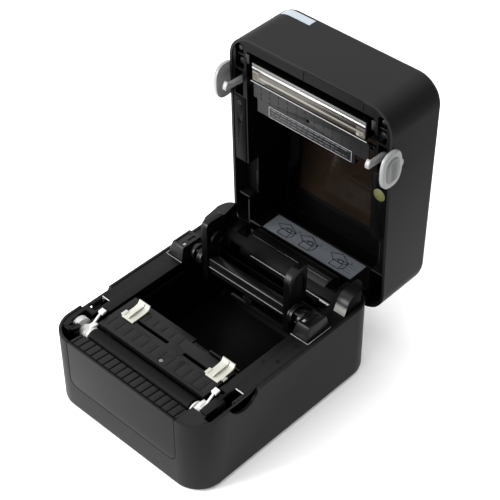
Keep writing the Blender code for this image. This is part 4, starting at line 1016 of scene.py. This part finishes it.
def latches():
    """Light grey paddles on the lid's sides with raised pads, and the hooks on the same shaft."""
    tip = SEAM - 18
    hook = [(57, 91.6), (55.4, 95.2), (50.6, 95.2), (49, 91.6), (44, 83.6), (43.4, tip + 5.2), (40, tip + 3.6),
            (40.6, tip + 2), (44, tip), (47.4, tip), (49, 81.6)]
    for side, sign in SIDES:
        piece(prism(hook, "X", mirrored((76.2, 80.6), sign)), f"latch_hook_{side}", SILVER, "latch", bevel=0.7,
              replaces=(f"latch_lever_{side}",), segments=3)
        boss = rod("X", (LATCH_Y, LATCH_Z), 2.9, mirrored((76.4, HALF + 0.5), sign), 32)
        neck = prism([(44, 80), (58, 80), (56.4, 93.0), (54.6, 94.3), (51.4, 94.3), (49.6, 93.0)], "X",
                     mirrored((HALF + 0.3, HALF + 1.2), sign))
        piece(group(boss, neck), f"latch_neck_{side}", SILVER, "latch", bevel=0.3)

        def oval(reach, rise):
            points = []
            for k in range(64):
                a = 2 * pi * k / 64
                c, s = cos(a), sin(a)
                u = reach * abs(c) ** ROUNDNESS * (1 if c > 0 else -1)
                v = rise * abs(s) ** ROUNDNESS * (1 if s > 0 else -1)
                points.append((u, v))
            return points

        def layers(steps):
            return [
                [(sign * x, 49.4 + u, SEAM - 3.6 + v) for u, v in oval(reach, rise)] for x, reach,
                rise in steps
            ]

        disc = loft(layers(((HALF + 0.6, 16.4, 11.6), (HALF + 1.0, 17.1, 12.3), (HALF + 3.6, 17.3, 12.5),
                            (HALF + 4.5, 16.6, 11.8), (HALF + 4.8, 15.4, 10.6))))
        piece(
            disc, f"paddle_{side}", SILVER, "latch", bevel=0, tidy=False, smooth=50
        )
        pad = loft(layers(((HALF + 4.4, 12.4, 8.6), (HALF + 5.4, 12.0, 8.2), (HALF + 6.1, 11.0, 7.2),
                           (HALF + 6.2, 9.6, 5.8))))
        piece(pad, f"paddle_pad_{side}", SILVER_PAD, "latch", bevel=0, tidy=False,
              smooth=50)
        grips = [side_box(sign, (HALF + 6.0, HALF + 6.2), (49.4 + k * 2.6 - 0.5, 49.4 + k * 2.6 + 0.5),
                          (SEAM - 7.0, SEAM - 0.2)) for k in range(-3, 4)]
        piece(group(*grips), f"paddle_grip_{side}", SILVER, "latch", bevel=0.09)


def lining():
    """Dark skin under the lid's top, and the flange that seats the smoked pane."""
    rows = [13.4 + (210 - 13.4) * k / 24 for k in range(25)]
    skin = [(y, lid_top(y) - 3.1) for y in rows] + [(y, lid_top(y) - 3.8) for y in reversed(rows)]
    sheet = prism(skin, "X", (-70.9, 70.9))
    cut(
        sheet, prism(rounded((-61, 61), (93, 189), 3, 6), "Z", (100, 160)),
        rod("Z", FEED_BUTTON, 7.6, (100, 160), 48)
    )
    piece(sheet, "top_lining", LINER, "lid", bevel=0.1)
    rows = [90.6 + 100.8 * k / 14 for k in range(15)]
    skin = [(y, lid_top(y) - 2.42) for y in rows] + [(y, lid_top(y) - 3.0) for y in reversed(rows)]
    seat = prism(skin, "X", (-64.5, 64.5))
    cut(seat, prism(rounded((-60.4, 60.4), (93.6, 188.4), 3, 6), "Z", (100, 160)))
    piece(seat, "pane_seat", LINER, "lid", bevel=0.1)


outer_lid()
inner_lid()
lining()
lid_bands()
print_unit()
ruler()
ledge_label()
stickers()
latches()


# Stage

def floor_look():
    made, tree, shader = nodes_of("stage_floor")
    assign(shader, Base_Color=(0.95, 0.95, 0.95, 1), Emission_Color=(1, 1, 1, 1), Emission_Strength=0.1,
           Roughness=0.9)
    return made


floor_mesh = bpy.data.meshes.new("floor")
build = bmesh.new()
bmesh.ops.create_grid(build, x_segments=2, y_segments=2, size=12)
build.to_mesh(floor_mesh)
build.free()
floor = bpy.data.objects.new("stage_floor", floor_mesh)
floor.data.materials.append(floor_look())
bpy.context.scene.collection.objects.link(floor)


def studio():
    """A white sweep: bright overhead, dim towards the horizon."""
    world = bpy.data.worlds.new("studio")
    world.use_nodes = True
    tree = world.node_tree
    where = node(tree, "TexCoord")
    split = node(tree, "SeparateXYZ")
    tree.links.new(where.outputs["Generated"], split.inputs[0])
    high = between(tree, split.outputs["Z"], 0.42, 2.4, 0.02, 0.75)
    side = between(tree, split.outputs["X"], 1.0, 0.29, -0.2, 0.7)
    tree.links.new(product(tree, high, side), tree.nodes["Background"].inputs["Strength"])
    tree.nodes["Background"].inputs["Color"].default_value = (1, 1, 1, 1)
    bpy.context.scene.world = world
    bpy.context.scene.view_settings.view_transform = "Standard"


studio()


def softbox(name, place, aim, size, power):
    data = bpy.data.lights.new(name, "AREA")
    data.shape = "RECTANGLE"
    data.size, data.size_y = size
    data.energy = power
    lamp = bpy.data.objects.new(name, data)
    lamp.location = place
    lamp.rotation_mode = "QUATERNION"
    lamp.rotation_quaternion = (Vector(aim) - Vector(place)).to_track_quat("-Z", "Y")
    bpy.context.scene.collection.objects.link(lamp)
    return lamp


softbox("key", (-0.7, -1.25, 0.62), (0, -0.1, 0.03), (0.7, 0.7), 37)

camera = bpy.data.cameras.new("camera")
camera.sensor_width = 36
camera.lens = 2.90812 * camera.sensor_width
camera.clip_start, camera.clip_end = 0.05, 50
eye = bpy.data.objects.new("camera", camera)
bpy.context.scene.collection.objects.link(eye)
bpy.context.scene.camera = eye
azimuth, elevation, distance = radians(43.535), radians(41.276), 1.23289
back = Vector((sin(azimuth) * cos(elevation), -cos(azimuth) * cos(elevation), sin(elevation)))
eye.location = Vector((-0.00237, 0.01207, 0.11728)) + back * distance
eye.rotation_mode = "QUATERNION"
eye.rotation_quaternion = (-back).to_track_quat("-Z", "Y") @ Matrix.Rotation(
    radians(-0.168), 4, "Z"
).to_quaternion()
